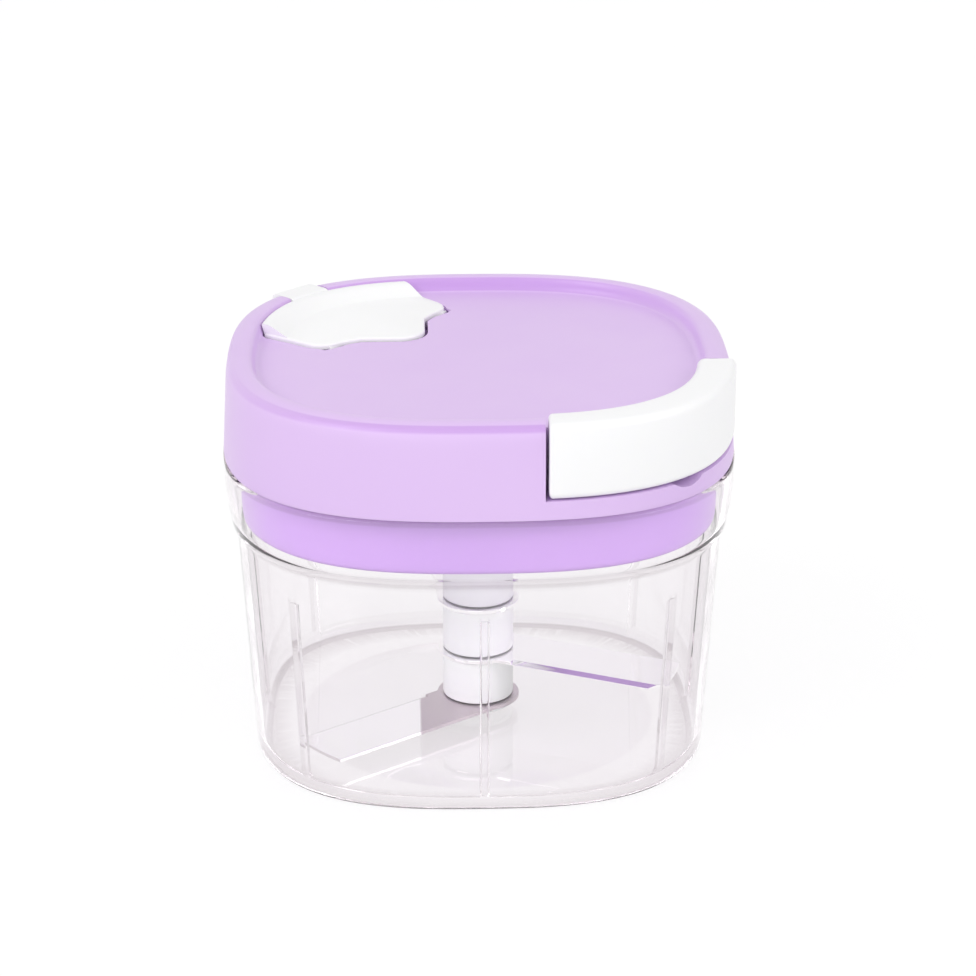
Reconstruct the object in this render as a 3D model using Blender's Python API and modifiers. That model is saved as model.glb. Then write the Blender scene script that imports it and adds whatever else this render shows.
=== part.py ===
"""Pull-cord vegetable chopper: a clear bowl, three stacked blades and a lid with a recoil reel.

Metres, +Z up. The origin is the centre of the bowl's base, the front is -Y, and the pull handle is
at the front right corner of the lid. The fill flap is at the back left corner.
"""
import math

import bmesh
import bpy
from mathutils import Matrix, Vector

# Clearances and cutters
FIT = 0.0003
RUNNING = 0.0004
BEVEL = 0.0004
PAST = 0.0020

# The two overall sizes: half the width at the rim, and the height of the lid's rim
BOWL_RIM_HALF = 0.0630
LID_HEIGHT = 0.1006

# Lid, from its rim down
LID_POWER = 2.69
LID_DEPTH = 0.0229
LID_BOTTOM = LID_HEIGHT - LID_DEPTH
LID_TAPER = 0.0012
LID_TOP_HALF = BOWL_RIM_HALF - LID_TAPER
LID_TOP_RADIUS = 0.0021
LID_WALL = 0.0020
RIM_WIDTH = 0.0065
RECESS_DEPTH = 0.0036
RECESS_DRAFT = 0.0006
RECESS_FILLET = 0.0008
RECESS_FLOOR = LID_HEIGHT - RECESS_DEPTH
RECESS_HALF = LID_TOP_HALF - RIM_WIDTH
LID_SLAB = 0.0028
SLAB_BOTTOM = RECESS_FLOOR - LID_SLAB
SKIRT_DROP = 0.0146
SKIRT_LAP = 0.0005
SKIRT_BOTTOM = LID_BOTTOM - SKIRT_DROP
SKIRT_TOP = LID_BOTTOM + SKIRT_LAP
SKIRT_EDGE = 0.0016
DECK_DROP = 0.0127
DECK_THICKNESS = 0.0020
DECK_BOTTOM = LID_BOTTOM - DECK_DROP
DECK_TOP = DECK_BOTTOM + DECK_THICKNESS
CORNER_OUT = BOWL_RIM_HALF * 2.0 ** (0.5 - 1.0 / LID_POWER)
TOP_CORNER_OUT = LID_TOP_HALF * 2.0 ** (0.5 - 1.0 / LID_POWER)
CUTTER_SPREAD = 0.0070
OUTSIDE_HALF = BOWL_RIM_HALF + CUTTER_SPREAD
OUTSIDE_CORNER = CORNER_OUT + CUTTER_SPREAD

# Bowl, whose rim meets the lid
BOWL_POWER = 2.81
BOWL_HEIGHT = LID_BOTTOM - FIT
COLLAR_HEIGHT = 0.0169
COLLAR_FLARE = 0.0016
COLLAR_BULGE = 0.0007
COLLAR_WALL = 0.0021
COLLAR_LEDGE = 0.0010
COLLAR_STEP = 0.0008
COLLAR_HALF = BOWL_RIM_HALF - COLLAR_FLARE
BODY_TAPER = 0.0034
BODY_TOP = BOWL_HEIGHT - COLLAR_HEIGHT
BODY_TOP_HALF = COLLAR_HALF - COLLAR_LEDGE
BODY_LOW_HALF = BODY_TOP_HALF - BODY_TAPER
FOOT_RADIUS = 0.0022
FOOT_HALF = BODY_LOW_HALF - FOOT_RADIUS
BOWL_WALL = 0.0018
BOWL_FLOOR = 0.0022
BOWL_INNER_CORNER = 0.0030
FOOT_RING_WIDTH = 0.0103
FOOT_RECESS_RADIUS = FOOT_HALF - FOOT_RING_WIDTH
FOOT_RECESS_SLOPE = 0.0060
FOOT_RECESS_DEPTH = 0.0008
RIB_COUNT = 8
RIB_WIDTH = 0.0020
RIB_PROUD = 0.0013
RIB_ROOT = 0.0010
RIB_DROP = 0.0100
RIB_TOP = BODY_TOP - RIB_DROP
BOSS_RADIUS = 0.0065
BOSS_HEIGHT = 0.0013
BOSS_FILLET = 0.0008
BOSS_SINK = 0.0006
PIN_RADIUS = 0.0020
PIN_TOP = 0.0155
PIN_TOP_CLEARANCE = 0.0006
PIN_SEAT_DEPTH = 0.0022
SKIRT_HALF = COLLAR_HALF - COLLAR_WALL

# Ratchet drive, with the coupling under the lid's floor
RATCHET_TEETH = 8
RATCHET_TIP = 0.0090
RATCHET_ROOT = 0.0072
RATCHET_THICKNESS = 0.0040
RATCHET_RISE = 0.0069
RATCHET_BOTTOM = DECK_BOTTOM + RATCHET_RISE
RATCHET_TOP = RATCHET_BOTTOM + RATCHET_THICKNESS
PAWL_PIVOT_RADIUS = 0.0126
PAWL_PIVOT_ANGLE = 50.0
PAWL_HEEL_ANGLE = 11.0
PAWL_BOSS = 0.0024
PAWL_CHEEK = (0.74, 0.55)
PAWL_PROUD = 0.0008
PAWL_PIN_RADIUS = 0.0012
PAWL_BOTTOM = RATCHET_BOTTOM + FIT
PAWL_TOP = RATCHET_TOP - FIT
SPINDLE_RADIUS = 0.0040
SPINDLE_KEY_RADIUS = 0.00384
BUSH_RADIUS = 0.0060
BUSH_FLANGE_RADIUS = 0.0080
BUSH_FLANGE = 0.0008
BEARING_WALL = 0.0018
BEARING_BOSS_HEIGHT = 0.0030
BEARING_BOSS_TOP = DECK_TOP + BEARING_BOSS_HEIGHT
COUPLING_GAP = 0.0008
COUPLING_RADIUS = 0.0094
COUPLING_LENGTH = 0.0112
COUPLING_BEVEL = 0.0010
COUPLING_TOP = DECK_BOTTOM - COUPLING_GAP
COUPLING_BOTTOM = COUPLING_TOP - COUPLING_LENGTH
COUPLING_WEB = 0.0034
COUPLING_SOCKET_TOP = COUPLING_TOP - COUPLING_WEB
SPINDLE_KEY_LENGTH = 0.0020
SPINDLE_BOTTOM = COUPLING_TOP - SPINDLE_KEY_LENGTH

# Blade unit, which stands in the bowl and reaches up into the coupling
CORE_RADIUS = 0.0056
CORE_BOTTOM = BOWL_FLOOR + BOSS_HEIGHT + FIT
CORE_HEADROOM = 0.0020
CORE_TOP = COUPLING_SOCKET_TOP - CORE_HEADROOM
HUB_RADIUS = 0.0090
SLEEVE_TOP = COUPLING_BOTTOM - FIT
FLANGE_THICKNESS = 0.0010
BLADE_THICKNESS = 0.0009
BLADE_RING_RADIUS = 0.0105
BLADE_LEVELS = (0.0052, 0.0182, 0.0320)
BLADE_ANGLES = (-143.0, -25.0, 95.0)
BLADE_SWEEP_CLEARANCE = 0.0028
BLADE_TIP_RADIUS = BODY_LOW_HALF - BOWL_WALL - BLADE_SWEEP_CLEARANCE
BLADE_LEADING = 0.0068
BLADE_TRAILING = 0.0102
BLADE_EDGE_WIDTH = 0.0016
BLADE_EDGE_THICKNESS = 0.0003
BLADE_TIP_CLIP = 0.0030
GRIND_START = 0.0040

# Handle and its seat in the corner of the lid
HANDLE_DEPTH = 0.0094
HANDLE_OUTER_HALF = BOWL_RIM_HALF
HANDLE_INNER_HALF = HANDLE_OUTER_HALF - HANDLE_DEPTH
HANDLE_RISE = 0.0004
HANDLE_LIFT = 0.0048
HANDLE_TOP = LID_HEIGHT + HANDLE_RISE
HANDLE_BOTTOM = LID_BOTTOM + HANDLE_LIFT
HANDLE_REACH = 0.0483
HANDLE_END = BOWL_RIM_HALF - HANDLE_REACH
HANDLE_END_GAP = 0.0010
HANDLE_WALL = 0.0022
HANDLE_EDGE_RADIUS = 0.0016
HANDLE_END_RADIUS = 0.0006
HANDLE_INSIDE_RADIUS = 0.0008
HANDLE_BACK_THICKNESS = 0.0018
HANDLE_BACK_RADIUS = 0.0005
SEAT_HALF = HANDLE_INNER_HALF - FIT
SEAT_BOTTOM = HANDLE_BOTTOM - FIT
SEAT_CORNER = 0.0006
SEAT_LEDGE = 0.0036
SEAT_WALL_CORNER = 0.0010
SEAT_END = HANDLE_END - HANDLE_END_GAP
FINGER_SCOOP_RADIUS = 0.0090
FINGER_SCOOP_DEPTH = 0.0016
FINGER_SCOOP_LENGTH = 0.0069

# Fill flap, its chute and its hinge at the opposite corner
FLAP_INSET = 0.0300
FLAP_HINGE_OUT = BOWL_RIM_HALF - FLAP_INSET
FLAP_PROUD = 0.0009
FLAP_TOP = RECESS_FLOOR + FLAP_PROUD
FLAP_THICKNESS = 0.0017
FLAP_BOTTOM = FLAP_TOP - FLAP_THICKNESS
FLAP_HINGE_DROP = 0.0020
FLAP_HINGE_HEIGHT = FLAP_TOP - FLAP_HINGE_DROP
FLAP_TAIL = 0.0119
FLAP_SWING = 0.0130
FLAP_CORNER_RADIUS = 0.0070
FLAP_EDGE = (FLAP_HINGE_OUT - FLAP_TAIL + FLAP_CORNER_RADIUS) * math.sqrt(0.5) - FLAP_CORNER_RADIUS
FLAP_EAR = ((0.0120, 0.0), (0.0072, 0.0034), (0.0040, 0.0042))
FLAP_EAR_ROOT = (0.0016, 0.0034)
FLAP_GAP = 0.0008
FLAP_RIM_GAP = 0.0004
FLAP_SEAT_BITE = 0.0001
FLAP_TRUNNION_RADIUS = 0.0019
FLAP_TRUNNION_END = 0.0204
FLAP_TRUNNION_START = 0.0120
FLAP_TAB_WIDTH = 0.0126
FLAP_TAB_ROUND = 0.0012
FLAP_TAB_CREST = 0.0075
FLAP_TAB_SLOPE = 0.0025
FLAP_TAB_ROOT = 0.0015
FLAP_TAB_DROP = 0.0002
FLAP_TAB_TOP = LID_HEIGHT - FLAP_TAB_DROP
TAB_SLOT_LENGTH = 0.0135
TAB_SEAT_LENGTH = 0.0155
FLAP_PIN_RADIUS = 0.0006
FLAP_PIN_LENGTH = 0.0056
FLAP_PIN_INSET = 0.0029
HINGE_BLOCK_END = 0.0044
HINGE_BLOCK_LAP = 0.0010
CRADLE_GAP = 0.0008
CRADLE_END_GAP = 0.0010
CRADLE_RISE = 0.0060
CHUTE_WALL = 0.0012
CHUTE_BEHIND = 0.0035
CHUTE_AHEAD = 0.0198
CHUTE_INNER = (FLAP_HINGE_OUT - CHUTE_BEHIND, FLAP_HINGE_OUT + CHUTE_AHEAD)
CHUTE_HALF_WIDTH = 0.0152
OPENING_LIP = 0.0005
OPENING_LAP = 0.0010

# Recoil reel under the recess
REEL_HEADROOM = 0.0062
REEL_TOP = SLAB_BOTTOM - REEL_HEADROOM
REEL_HEIGHT = 0.0104
REEL_BOTTOM = REEL_TOP - REEL_HEIGHT
REEL_RADIUS = 0.0200
REEL_FLANGE = 0.0012
REEL_WEB = 0.0030
WEB_TOP = REEL_BOTTOM + REEL_WEB
DRUM_RADIUS = 0.0162
DRUM_WALL = 0.0016
SPRING_POCKET = DRUM_RADIUS - DRUM_WALL
CORD_RADIUS = 0.0009
CORD_TURNS = 2.65
CORD_PITCH = 0.0021
CORD_HOLE_GAP = 0.0004
CORD_ROUTE_STEP = 0.0045
CORD_CLIMB = ((0.20, 0.0), (0.50, 0.45), (0.80, 0.85))
EYELET_LEAD = 0.0030
WINDING_RADIUS = DRUM_RADIUS + CORD_RADIUS + FIT
WINDING_TOP = REEL_TOP - REEL_FLANGE - CORD_RADIUS - 2 * FIT
AXLE_RADIUS = 0.0025
AXLE_END = 0.0014
AXLE_BEVEL = 0.0006
AXLE_BOTTOM = RATCHET_BOTTOM - AXLE_END
AXLE_TOP_RADIUS = 0.0032
AXLE_HEADROOM = 0.0008
AXLE_TOP = SLAB_BOTTOM - AXLE_HEADROOM
AXLE_BOSS_RADIUS = 0.0062
AXLE_BOSS_GAP = 0.0010
AXLE_BOSS_BOTTOM = REEL_TOP + AXLE_BOSS_GAP
ARBOR_RADIUS = 0.0054
CLIP_RADIUS = 0.0046
CLIP_THICKNESS = 0.0007
SPRING_TURNS = 5
SPRING_THICKNESS = 0.0005
CAP_THICKNESS = 0.0010
SPRING_BOTTOM = WEB_TOP + FIT
SPRING_TOP = REEL_TOP - CAP_THICKNESS - FIT
EYELET_DROP = 0.0008
EYELET_HEIGHT = REEL_TOP - EYELET_DROP
EYELET_BORE = 0.0019
EYELET_RADIUS = 0.0033
EYELET_FLANGE_RADIUS = 0.0044
EYELET_FLANGE = 0.0012
EYELET_SEAT_DEPTH = 0.0003
KNOT_RADIUS = 0.0019

# Screws
SCREW_RADIUS = 0.00125
SCREW_POINT = 0.0012
SCREW_HEAD_RADIUS = 0.0028
SCREW_HEAD = 0.0016
SCREW_HEAD_ROUND = 0.0006
SCREW_LENGTH = 0.0075
SCREW_TAP = 0.0010
POST_RADIUS = 0.0036
POST_INSET = 0.0250
POST_FAR = BOWL_RIM_HALF - POST_INSET
POST_NEAR = 0.0120
POST_PLACES = (
    (-POST_FAR, -POST_NEAR),
    (POST_NEAR, POST_FAR),
    (-POST_NEAR, -POST_FAR),
    (POST_FAR, POST_NEAR),
)

# Facets
SQUIRCLE_STEPS = 56
ROUND_STEPS = 28
SWEEP_STEPS = 7
REEL_STEPS = 32
WINDING_STEPS = 18
SMALL_STEPS = 16
SMOOTH_ANGLE = math.radians(35.0)
MERGE = 0.00001

# Colours
LILAC = (0.70, 0.52, 0.90)
WHITE = (0.92, 0.92, 0.93)
CLEAR = (0.90, 0.87, 0.90)
CLEAR_ALPHA = 0.3
STEEL = (0.72, 0.72, 0.74)
NYLON = (0.86, 0.86, 0.84)
CORD_WHITE = (0.88, 0.88, 0.86)

HALF_ROOT = math.sqrt(0.5)
BACK_LEFT = 135.0
FRONT_RIGHT = -45.0

parts = None
cutters = None


def clear_scene():
    for item in list(bpy.data.objects):
        bpy.data.objects.remove(item, do_unlink=True)


def make_collections():
    global parts, cutters
    parts = bpy.data.collections.new("vegetable_chopper")
    cutters = bpy.data.collections.new("cutters")
    bpy.context.scene.collection.children.link(parts)
    bpy.context.scene.collection.children.link(cutters)


def material(name, colour, roughness, metallic=0.0, alpha=1.0):
    """A Principled material with one colour."""
    made = bpy.data.materials.new(name)
    made.use_nodes = True
    shader = made.node_tree.nodes["Principled BSDF"]
    shader.inputs["Base Color"].default_value = (*colour, 1.0)
    shader.inputs["Roughness"].default_value = roughness
    shader.inputs["Metallic"].default_value = metallic
    shader.inputs["Alpha"].default_value = alpha
    made.diffuse_color = (*colour, alpha)
    return made


def squircle_radius(half, power, angle):
    """Distance from the centre to a rounded square of this half width, at an angle in radians."""
    reach = abs(math.cos(angle)) ** power + abs(math.sin(angle)) ** power
    return half * reach ** (-1.0 / power)


def squircle_ring(half, height, power, steps=SQUIRCLE_STEPS):
    """The points of one level of a rounded-square moulding, anticlockwise from above."""
    ring = []
    for step in range(steps):
        angle = 2.0 * math.pi * step / steps
        radius = squircle_radius(half, power, angle)
        ring.append((radius * math.cos(angle), radius * math.sin(angle), height))
    return ring


def arc(centre_x, centre_y, radius, start, end, steps):
    """Points on an arc, angles in degrees, both ends included."""
    points = []
    for step in range(steps + 1):
        angle = math.radians(start + (end - start) * step / steps)
        points.append((centre_x + radius * math.cos(angle), centre_y + radius * math.sin(angle)))
    return points


def add_object(name, mesh, holder, look=None):
    made = bpy.data.objects.new(name, mesh)
    holder.objects.link(made)
    if look is not None:
        mesh.materials.append(look)
    else:
        made.hide_render = True
        made.display_type = "WIRE"
    return made


def finish_mesh(name, builder, look):
    """Turn a bmesh into an object: a part when it has a look, and otherwise a cutter."""
    bmesh.ops.recalc_face_normals(builder, faces=builder.faces)
    mesh = bpy.data.meshes.new(name)
    builder.to_mesh(mesh)
    builder.free()
    mesh.shade_smooth()
    mesh.set_sharp_from_angle(angle=SMOOTH_ANGLE)
    return add_object(name, mesh, parts if look else cutters, look)


def lofted(name, rings, look=None, closed=False):
    """Join rings of equal count; the first and last are capped unless the loft closes on itself."""
    builder = bmesh.new()
    levels = []
    for ring in rings:
        levels.append([builder.verts.new(point) for point in ring])
    count = len(rings[0])
    pairs = list(zip(levels[:-1], levels[1:]))
    if closed:
        pairs.append((levels[-1], levels[0]))
    for lower, upper in pairs:
        for index in range(count):
            following = (index + 1) % count
            builder.faces.new((lower[index], lower[following], upper[following], upper[index]))
    if not closed:
        builder.faces.new(list(reversed(levels[0])))
        builder.faces.new(levels[-1])
    return finish_mesh(name, builder, look)


def squircle_solid(name, stations, power, look=None, closed=False):
    """A rounded-square moulding through (half width, height) stations."""
    rings = [squircle_ring(half, height, power) for half, height in stations]
    return lofted(name, rings, look, closed)


def extruded(name, outline, bottom, top, look=None, frame=None):
    """A flat outline extruded between two levels; frame turns it out of the XY plane."""
    builder = bmesh.new()
    base = builder.faces.new([builder.verts.new((x, y, bottom)) for x, y in outline])
    grown = bmesh.ops.extrude_face_region(builder, geom=[base])
    moved = [item for item in grown["geom"] if isinstance(item, bmesh.types.BMVert)]
    bmesh.ops.translate(builder, verts=moved, vec=(0.0, 0.0, top - bottom))
    if frame is not None:
        bmesh.ops.transform(builder, matrix=frame, verts=builder.verts)
    return finish_mesh(name, builder, look)


def cylinder(name, radius, bottom, top, look=None, centre=(0.0, 0.0), steps=ROUND_STEPS, frame=None):
    builder = bmesh.new()
    bmesh.ops.create_cone(
        builder,
        cap_ends=True,
        segments=steps,
        radius1=radius,
        radius2=radius,
        depth=top - bottom,
        matrix=Matrix.Translation((centre[0], centre[1], (bottom + top) / 2.0)),
    )
    if frame is not None:
        bmesh.ops.transform(builder, matrix=frame, verts=builder.verts)
    return finish_mesh(name, builder, look)


def box(name, low, high, look=None, turn=0.0):
    """A box between two corners, then turned about Z by an angle in degrees."""
    builder = bmesh.new()
    size = Vector(high) - Vector(low)
    middle = (Vector(high) + Vector(low)) / 2.0
    bmesh.ops.create_cube(builder, size=1.0)
    bmesh.ops.scale(builder, vec=size, verts=builder.verts)
    bmesh.ops.translate(builder, vec=middle, verts=builder.verts)
    bmesh.ops.rotate(builder, matrix=Matrix.Rotation(math.radians(turn), 3, "Z"), verts=builder.verts)
    return finish_mesh(name, builder, look)


def turned(name, profile, look=None, steps=ROUND_STEPS, closed=True):
    """A turned piece: (radius, height) points that run down the outer side, turned about Z."""
    mesh = bpy.data.meshes.new(name)
    points = [(radius, 0.0, height) for radius, height in profile]
    edges = [(index, index + 1) for index in range(len(points) - 1)]
    if closed:
        edges.append((len(points) - 1, 0))
    mesh.from_pydata(points, edges, [])
    made = add_object(name, mesh, parts if look else cutters, look)
    screw = made.modifiers.new("turn", "SCREW")
    screw.axis = "Z"
    screw.angle = 2.0 * math.pi
    screw.steps = steps
    screw.render_steps = steps
    screw.use_merge_vertices = True
    screw.merge_threshold = MERGE
    screw.use_smooth_shade = True
    return made


def swept_corner(name, section, end, look=None, steps=SWEEP_STEPS, end_inset=0.0):
    """A closed (half width, height) section carried round the front right corner of the lid.

    Both ends are square to the lid's faces: one is this far right of the middle and one this far before it.
    """
    mid_half = sum(half for half, height in section) / len(section)
    mid_height = sum(height for half, height in section) / len(section)
    stations = [(end + end_inset, step / steps, 0.0) for step in range(steps + 1)]
    if end_inset > 0.0:
        stations.insert(0, (end, 0.0, end_inset))
    front_rings = []
    right_rings = []
    for start, share, inset in stations:
        front_ring = []
        right_ring = []
        for half, height in section:
            half_in = half - math.copysign(min(inset, abs(half - mid_half)), half - mid_half)
            height_in = height - math.copysign(min(inset, abs(height - mid_height)), height - mid_height)
            corner = half_in * 2.0 ** (-1.0 / LID_POWER)
            near = start + (corner - start) * share
            far = (half_in ** LID_POWER - near ** LID_POWER) ** (1.0 / LID_POWER)
            front_ring.append((near, -far, height_in))
            right_ring.append((far, -near, height_in))
        front_rings.append(front_ring)
        right_rings.append(right_ring)
    return lofted(name, front_rings + right_rings[-2::-1], look)


def rounded_section(low_x, high_x, low_y, high_y, radius, steps=3):
    """A rectangle with round corners, as points in order."""
    points = arc(high_x - radius, low_y + radius, radius, -90.0, 0.0, steps)
    points += arc(high_x - radius, high_y - radius, radius, 0.0, 90.0, steps)
    points += arc(low_x + radius, high_y - radius, radius, 90.0, 180.0, steps)
    points += arc(low_x + radius, low_y + radius, radius, 180.0, 270.0, steps)
    return points


def along_diagonal(angle, height, out=0.0):
    """A frame whose Z runs outward along a diagonal of the square, at this height."""
    direction = Vector((math.cos(math.radians(angle)), math.sin(math.radians(angle)), 0.0))
    side = Vector((0.0, 0.0, 1.0)).cross(direction)
    frame = Matrix((side, Vector((0.0, 0.0, 1.0)), direction)).transposed().to_4x4()
    return Matrix.Translation(direction * out + Vector((0.0, 0.0, height))) @ frame


def across_diagonal(angle, height, out):
    """A frame whose X runs outward along a diagonal, Y up and Z across it."""
    direction = Vector((math.cos(math.radians(angle)), math.sin(math.radians(angle)), 0.0))
    upward = Vector((0.0, 0.0, 1.0))
    frame = Matrix((direction, upward, direction.cross(upward))).transposed().to_4x4()
    return Matrix.Translation(direction * out + upward * height) @ frame


def combine(target, other, operation):
    step = target.modifiers.new(other.name, "BOOLEAN")
    step.operation = operation
    step.object = other
    step.solver = "EXACT"
    return target


def cut(target, *others):
    for other in others:
        combine(target, other, "DIFFERENCE")


def join(target, *others):
    for other in others:
        combine(target, other, "UNION")


def put_origin(item, point):
    """Move an object's origin to a point and leave its shape where it is."""
    item.data.transform(Matrix.Translation(-Vector(point)))
    item.location = point


def tube(name, points, radius, look, resolution=2):
    """A round cord through points, as a closed mesh."""
    curve = bpy.data.curves.new(name + "_route", "CURVE")
    curve.dimensions = "3D"
    curve.bevel_depth = radius
    curve.bevel_resolution = resolution
    curve.use_fill_caps = True
    spline = curve.splines.new("POLY")
    spline.points.add(len(points) - 1)
    for index, point in enumerate(points):
        spline.points[index].co = (*point, 1.0)
    source = bpy.data.objects.new(name + "_route", curve)
    bpy.context.scene.collection.objects.link(source)
    bpy.context.view_layer.update()
    evaluated = source.evaluated_get(bpy.context.evaluated_depsgraph_get())
    mesh = bpy.data.meshes.new_from_object(evaluated)
    mesh.name = name
    bpy.data.objects.remove(source, do_unlink=True)
    builder = bmesh.new()
    builder.from_mesh(mesh)
    bmesh.ops.remove_doubles(builder, verts=builder.verts, dist=MERGE)
    bpy.data.meshes.remove(mesh)
    return finish_mesh(name, builder, look)


def smooth_route(points, spacing):
    """Even steps along a Catmull-Rom curve through the points."""
    padded = [2 * points[0] - points[1]] + list(points) + [2 * points[-1] - points[-2]]
    route = [points[0]]
    for index in range(1, len(padded) - 2):
        before, start, end, after = padded[index - 1:index + 3]
        count = max(2, round((end - start).length / spacing))
        for step in range(1, count + 1):
            t = step / count
            blend = 2 * start + (end - before) * t
            blend = blend + (2 * before - 5 * start + 4 * end - after) * t * t
            blend = blend + (3 * start - before - 3 * end + after) * t ** 3
            route.append(blend / 2)
    return route


def bowl_outer_stations():
    """The outside of the bowl from the edge of its foot to the rim."""
    stations = []
    lift = BODY_LOW_HALF - FOOT_HALF
    for step in range(4):
        turn = math.radians(90.0 * step / 3)
        stations.append((FOOT_HALF + lift * math.sin(turn), FOOT_RADIUS * (1.0 - math.cos(turn))))
    stations.append((BODY_TOP_HALF, BODY_TOP))
    for share in (0.1, 0.35, 0.65, 1.0):
        height = BODY_TOP + (BOWL_HEIGHT - BODY_TOP) * share
        spread = COLLAR_HALF + (BOWL_RIM_HALF - COLLAR_HALF) * share
        spread += COLLAR_BULGE * math.sin(math.pi * share)
        stations.append((spread, height))
    return stations


def wall_half_at(height):
    """Half width of the bowl's inner wall below the collar."""
    share = (height - FOOT_RADIUS) / (BODY_TOP - FOOT_RADIUS)
    return BODY_LOW_HALF + (BODY_TOP_HALF - BODY_LOW_HALF) * share - BOWL_WALL


def make_bowl(look):
    outer = bowl_outer_stations()
    rim_half, rim_height = outer[-1]
    stations = outer[:-1]
    stations.append((rim_half, rim_height - BEVEL))
    stations.append((rim_half - BEVEL, rim_height))
    stations.append((rim_half - COLLAR_WALL + BEVEL, rim_height))
    stations.append((rim_half - COLLAR_WALL, rim_height - BEVEL))
    for half, height in reversed(outer[-4:-1]):
        stations.append((half - COLLAR_WALL, height + COLLAR_STEP))
    stations.append((wall_half_at(BODY_TOP + COLLAR_STEP), BODY_TOP + COLLAR_STEP))
    floor_half = wall_half_at(BOWL_FLOOR + BOWL_INNER_CORNER)
    for step in range(4):
        turn = math.radians(90.0 * step / 3)
        inward = BOWL_INNER_CORNER * (1.0 - math.cos(turn))
        stations.append((floor_half - inward, BOWL_FLOOR + BOWL_INNER_CORNER * (1.0 - math.sin(turn))))
    bowl = squircle_solid("bowl", stations, BOWL_POWER, look)
    for index in range(RIB_COUNT):
        join(bowl, make_rib(index))
    recess = [
        (FOOT_RECESS_RADIUS + PAST, -PAST),
        (FOOT_RECESS_RADIUS, 0.0),
        (FOOT_RECESS_RADIUS - FOOT_RECESS_SLOPE, FOOT_RECESS_DEPTH),
        (0.0, FOOT_RECESS_DEPTH),
    ]
    recess.reverse()
    cut(bowl, turned("foot_recess", recess + [(0.0, -PAST)]))
    boss_top = BOWL_FLOOR + BOSS_HEIGHT
    boss = [
        (0.0, boss_top),
        (BOSS_RADIUS - BOSS_FILLET, boss_top),
        (BOSS_RADIUS, BOWL_FLOOR + BOSS_SINK),
        (BOSS_RADIUS + BOSS_FILLET, BOWL_FLOOR - BOSS_SINK),
        (0.0, BOWL_FLOOR - BOSS_SINK),
    ]
    join(bowl, turned("pin_boss", boss))
    seat_low = boss_top - PIN_SEAT_DEPTH
    cut(bowl, cylinder("pin_seat", PIN_RADIUS + FIT, seat_low, boss_top + PAST, steps=SMALL_STEPS))
    return bowl


def make_rib(index):
    """One upright rib on the inner wall, from the floor to its square top end."""
    angle = 2.0 * math.pi * index / RIB_COUNT
    builder = bmesh.new()
    corners = []
    for height in (BOWL_FLOOR - BOSS_SINK, RIB_TOP):
        face = squircle_radius(wall_half_at(max(height, FOOT_RADIUS)), BOWL_POWER, angle)
        if height < BOWL_FLOOR:
            inner = face - RIB_PROUD - RIB_ROOT
            outer = face - RIB_ROOT
        else:
            inner = face - RIB_PROUD
            outer = face + BOWL_WALL / 2.0
        corners.append(((inner, outer), height))
    bmesh.ops.create_cube(builder, size=1.0)
    for vertex in builder.verts:
        (inner, outer), height = corners[0] if vertex.co.z < 0.0 else corners[1]
        vertex.co.x = inner if vertex.co.x < 0.0 else outer
        vertex.co.y = math.copysign(RIB_WIDTH / 2.0, vertex.co.y)
        vertex.co.z = height
    bmesh.ops.rotate(builder, matrix=Matrix.Rotation(angle, 3, "Z"), verts=builder.verts)
    return finish_mesh("rib_%d" % (index + 1), builder, None)


def blade_outline():
    """Plan of one blade: a ring round the core and an arm with its cutting edge on the clockwise side."""
    start = math.degrees(math.asin(BLADE_TRAILING / BLADE_RING_RADIUS))
    end = 360.0 - math.degrees(math.asin(BLADE_LEADING / BLADE_RING_RADIUS))
    points = arc(0.0, 0.0, BLADE_RING_RADIUS, start, end, 18)
    tip_leading = math.sqrt(BLADE_TIP_RADIUS ** 2 - BLADE_LEADING ** 2)
    points.append((tip_leading - BLADE_TIP_CLIP, -BLADE_LEADING))
    first = -math.degrees(math.asin((BLADE_LEADING - BLADE_TIP_CLIP) / BLADE_TIP_RADIUS))
    last = math.degrees(math.asin(BLADE_TRAILING / BLADE_TIP_RADIUS))
    points += arc(0.0, 0.0, BLADE_TIP_RADIUS, first, last, 5)
    return points


def make_blade(name, level, degrees, look):
    """One blade, with the grind on its leading edge and the core's six-sided hole."""
    blade = extruded(name, blade_outline(), level, level + BLADE_THICKNESS, look)
    rise = BLADE_THICKNESS - BLADE_EDGE_THICKNESS
    wedge = [
        (-BLADE_LEADING - PAST, BLADE_EDGE_THICKNESS - rise * PAST / BLADE_EDGE_WIDTH),
        (-BLADE_LEADING + BLADE_EDGE_WIDTH * 1.5, BLADE_EDGE_THICKNESS + rise * 1.5),
        (-BLADE_LEADING - PAST, BLADE_EDGE_THICKNESS + rise * 1.5),
    ]
    outward = Matrix(((0, 0, 1, 0), (1, 0, 0, 0), (0, 1, 0, level), (0, 0, 0, 1)))
    start = math.sqrt(BLADE_RING_RADIUS ** 2 - BLADE_LEADING ** 2) + GRIND_START
    grind = extruded(name + "_grind", wedge, start, BLADE_TIP_RADIUS + PAST, frame=outward)
    for item in (blade, grind):
        item.rotation_euler = (0.0, 0.0, math.radians(degrees))
    above = level + BLADE_THICKNESS + PAST
    hole = cylinder(name + "_bore", CORE_RADIUS + FIT, level - PAST, above, steps=6)
    cut(blade, grind, hole)
    return blade


def make_hub_ring(name, bottom, top, look):
    ring = cylinder(name, HUB_RADIUS, bottom, top, look)
    cut(ring, cylinder(name + "_bore", CORE_RADIUS + FIT, bottom - PAST, top + PAST, steps=6))
    return ring


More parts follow.
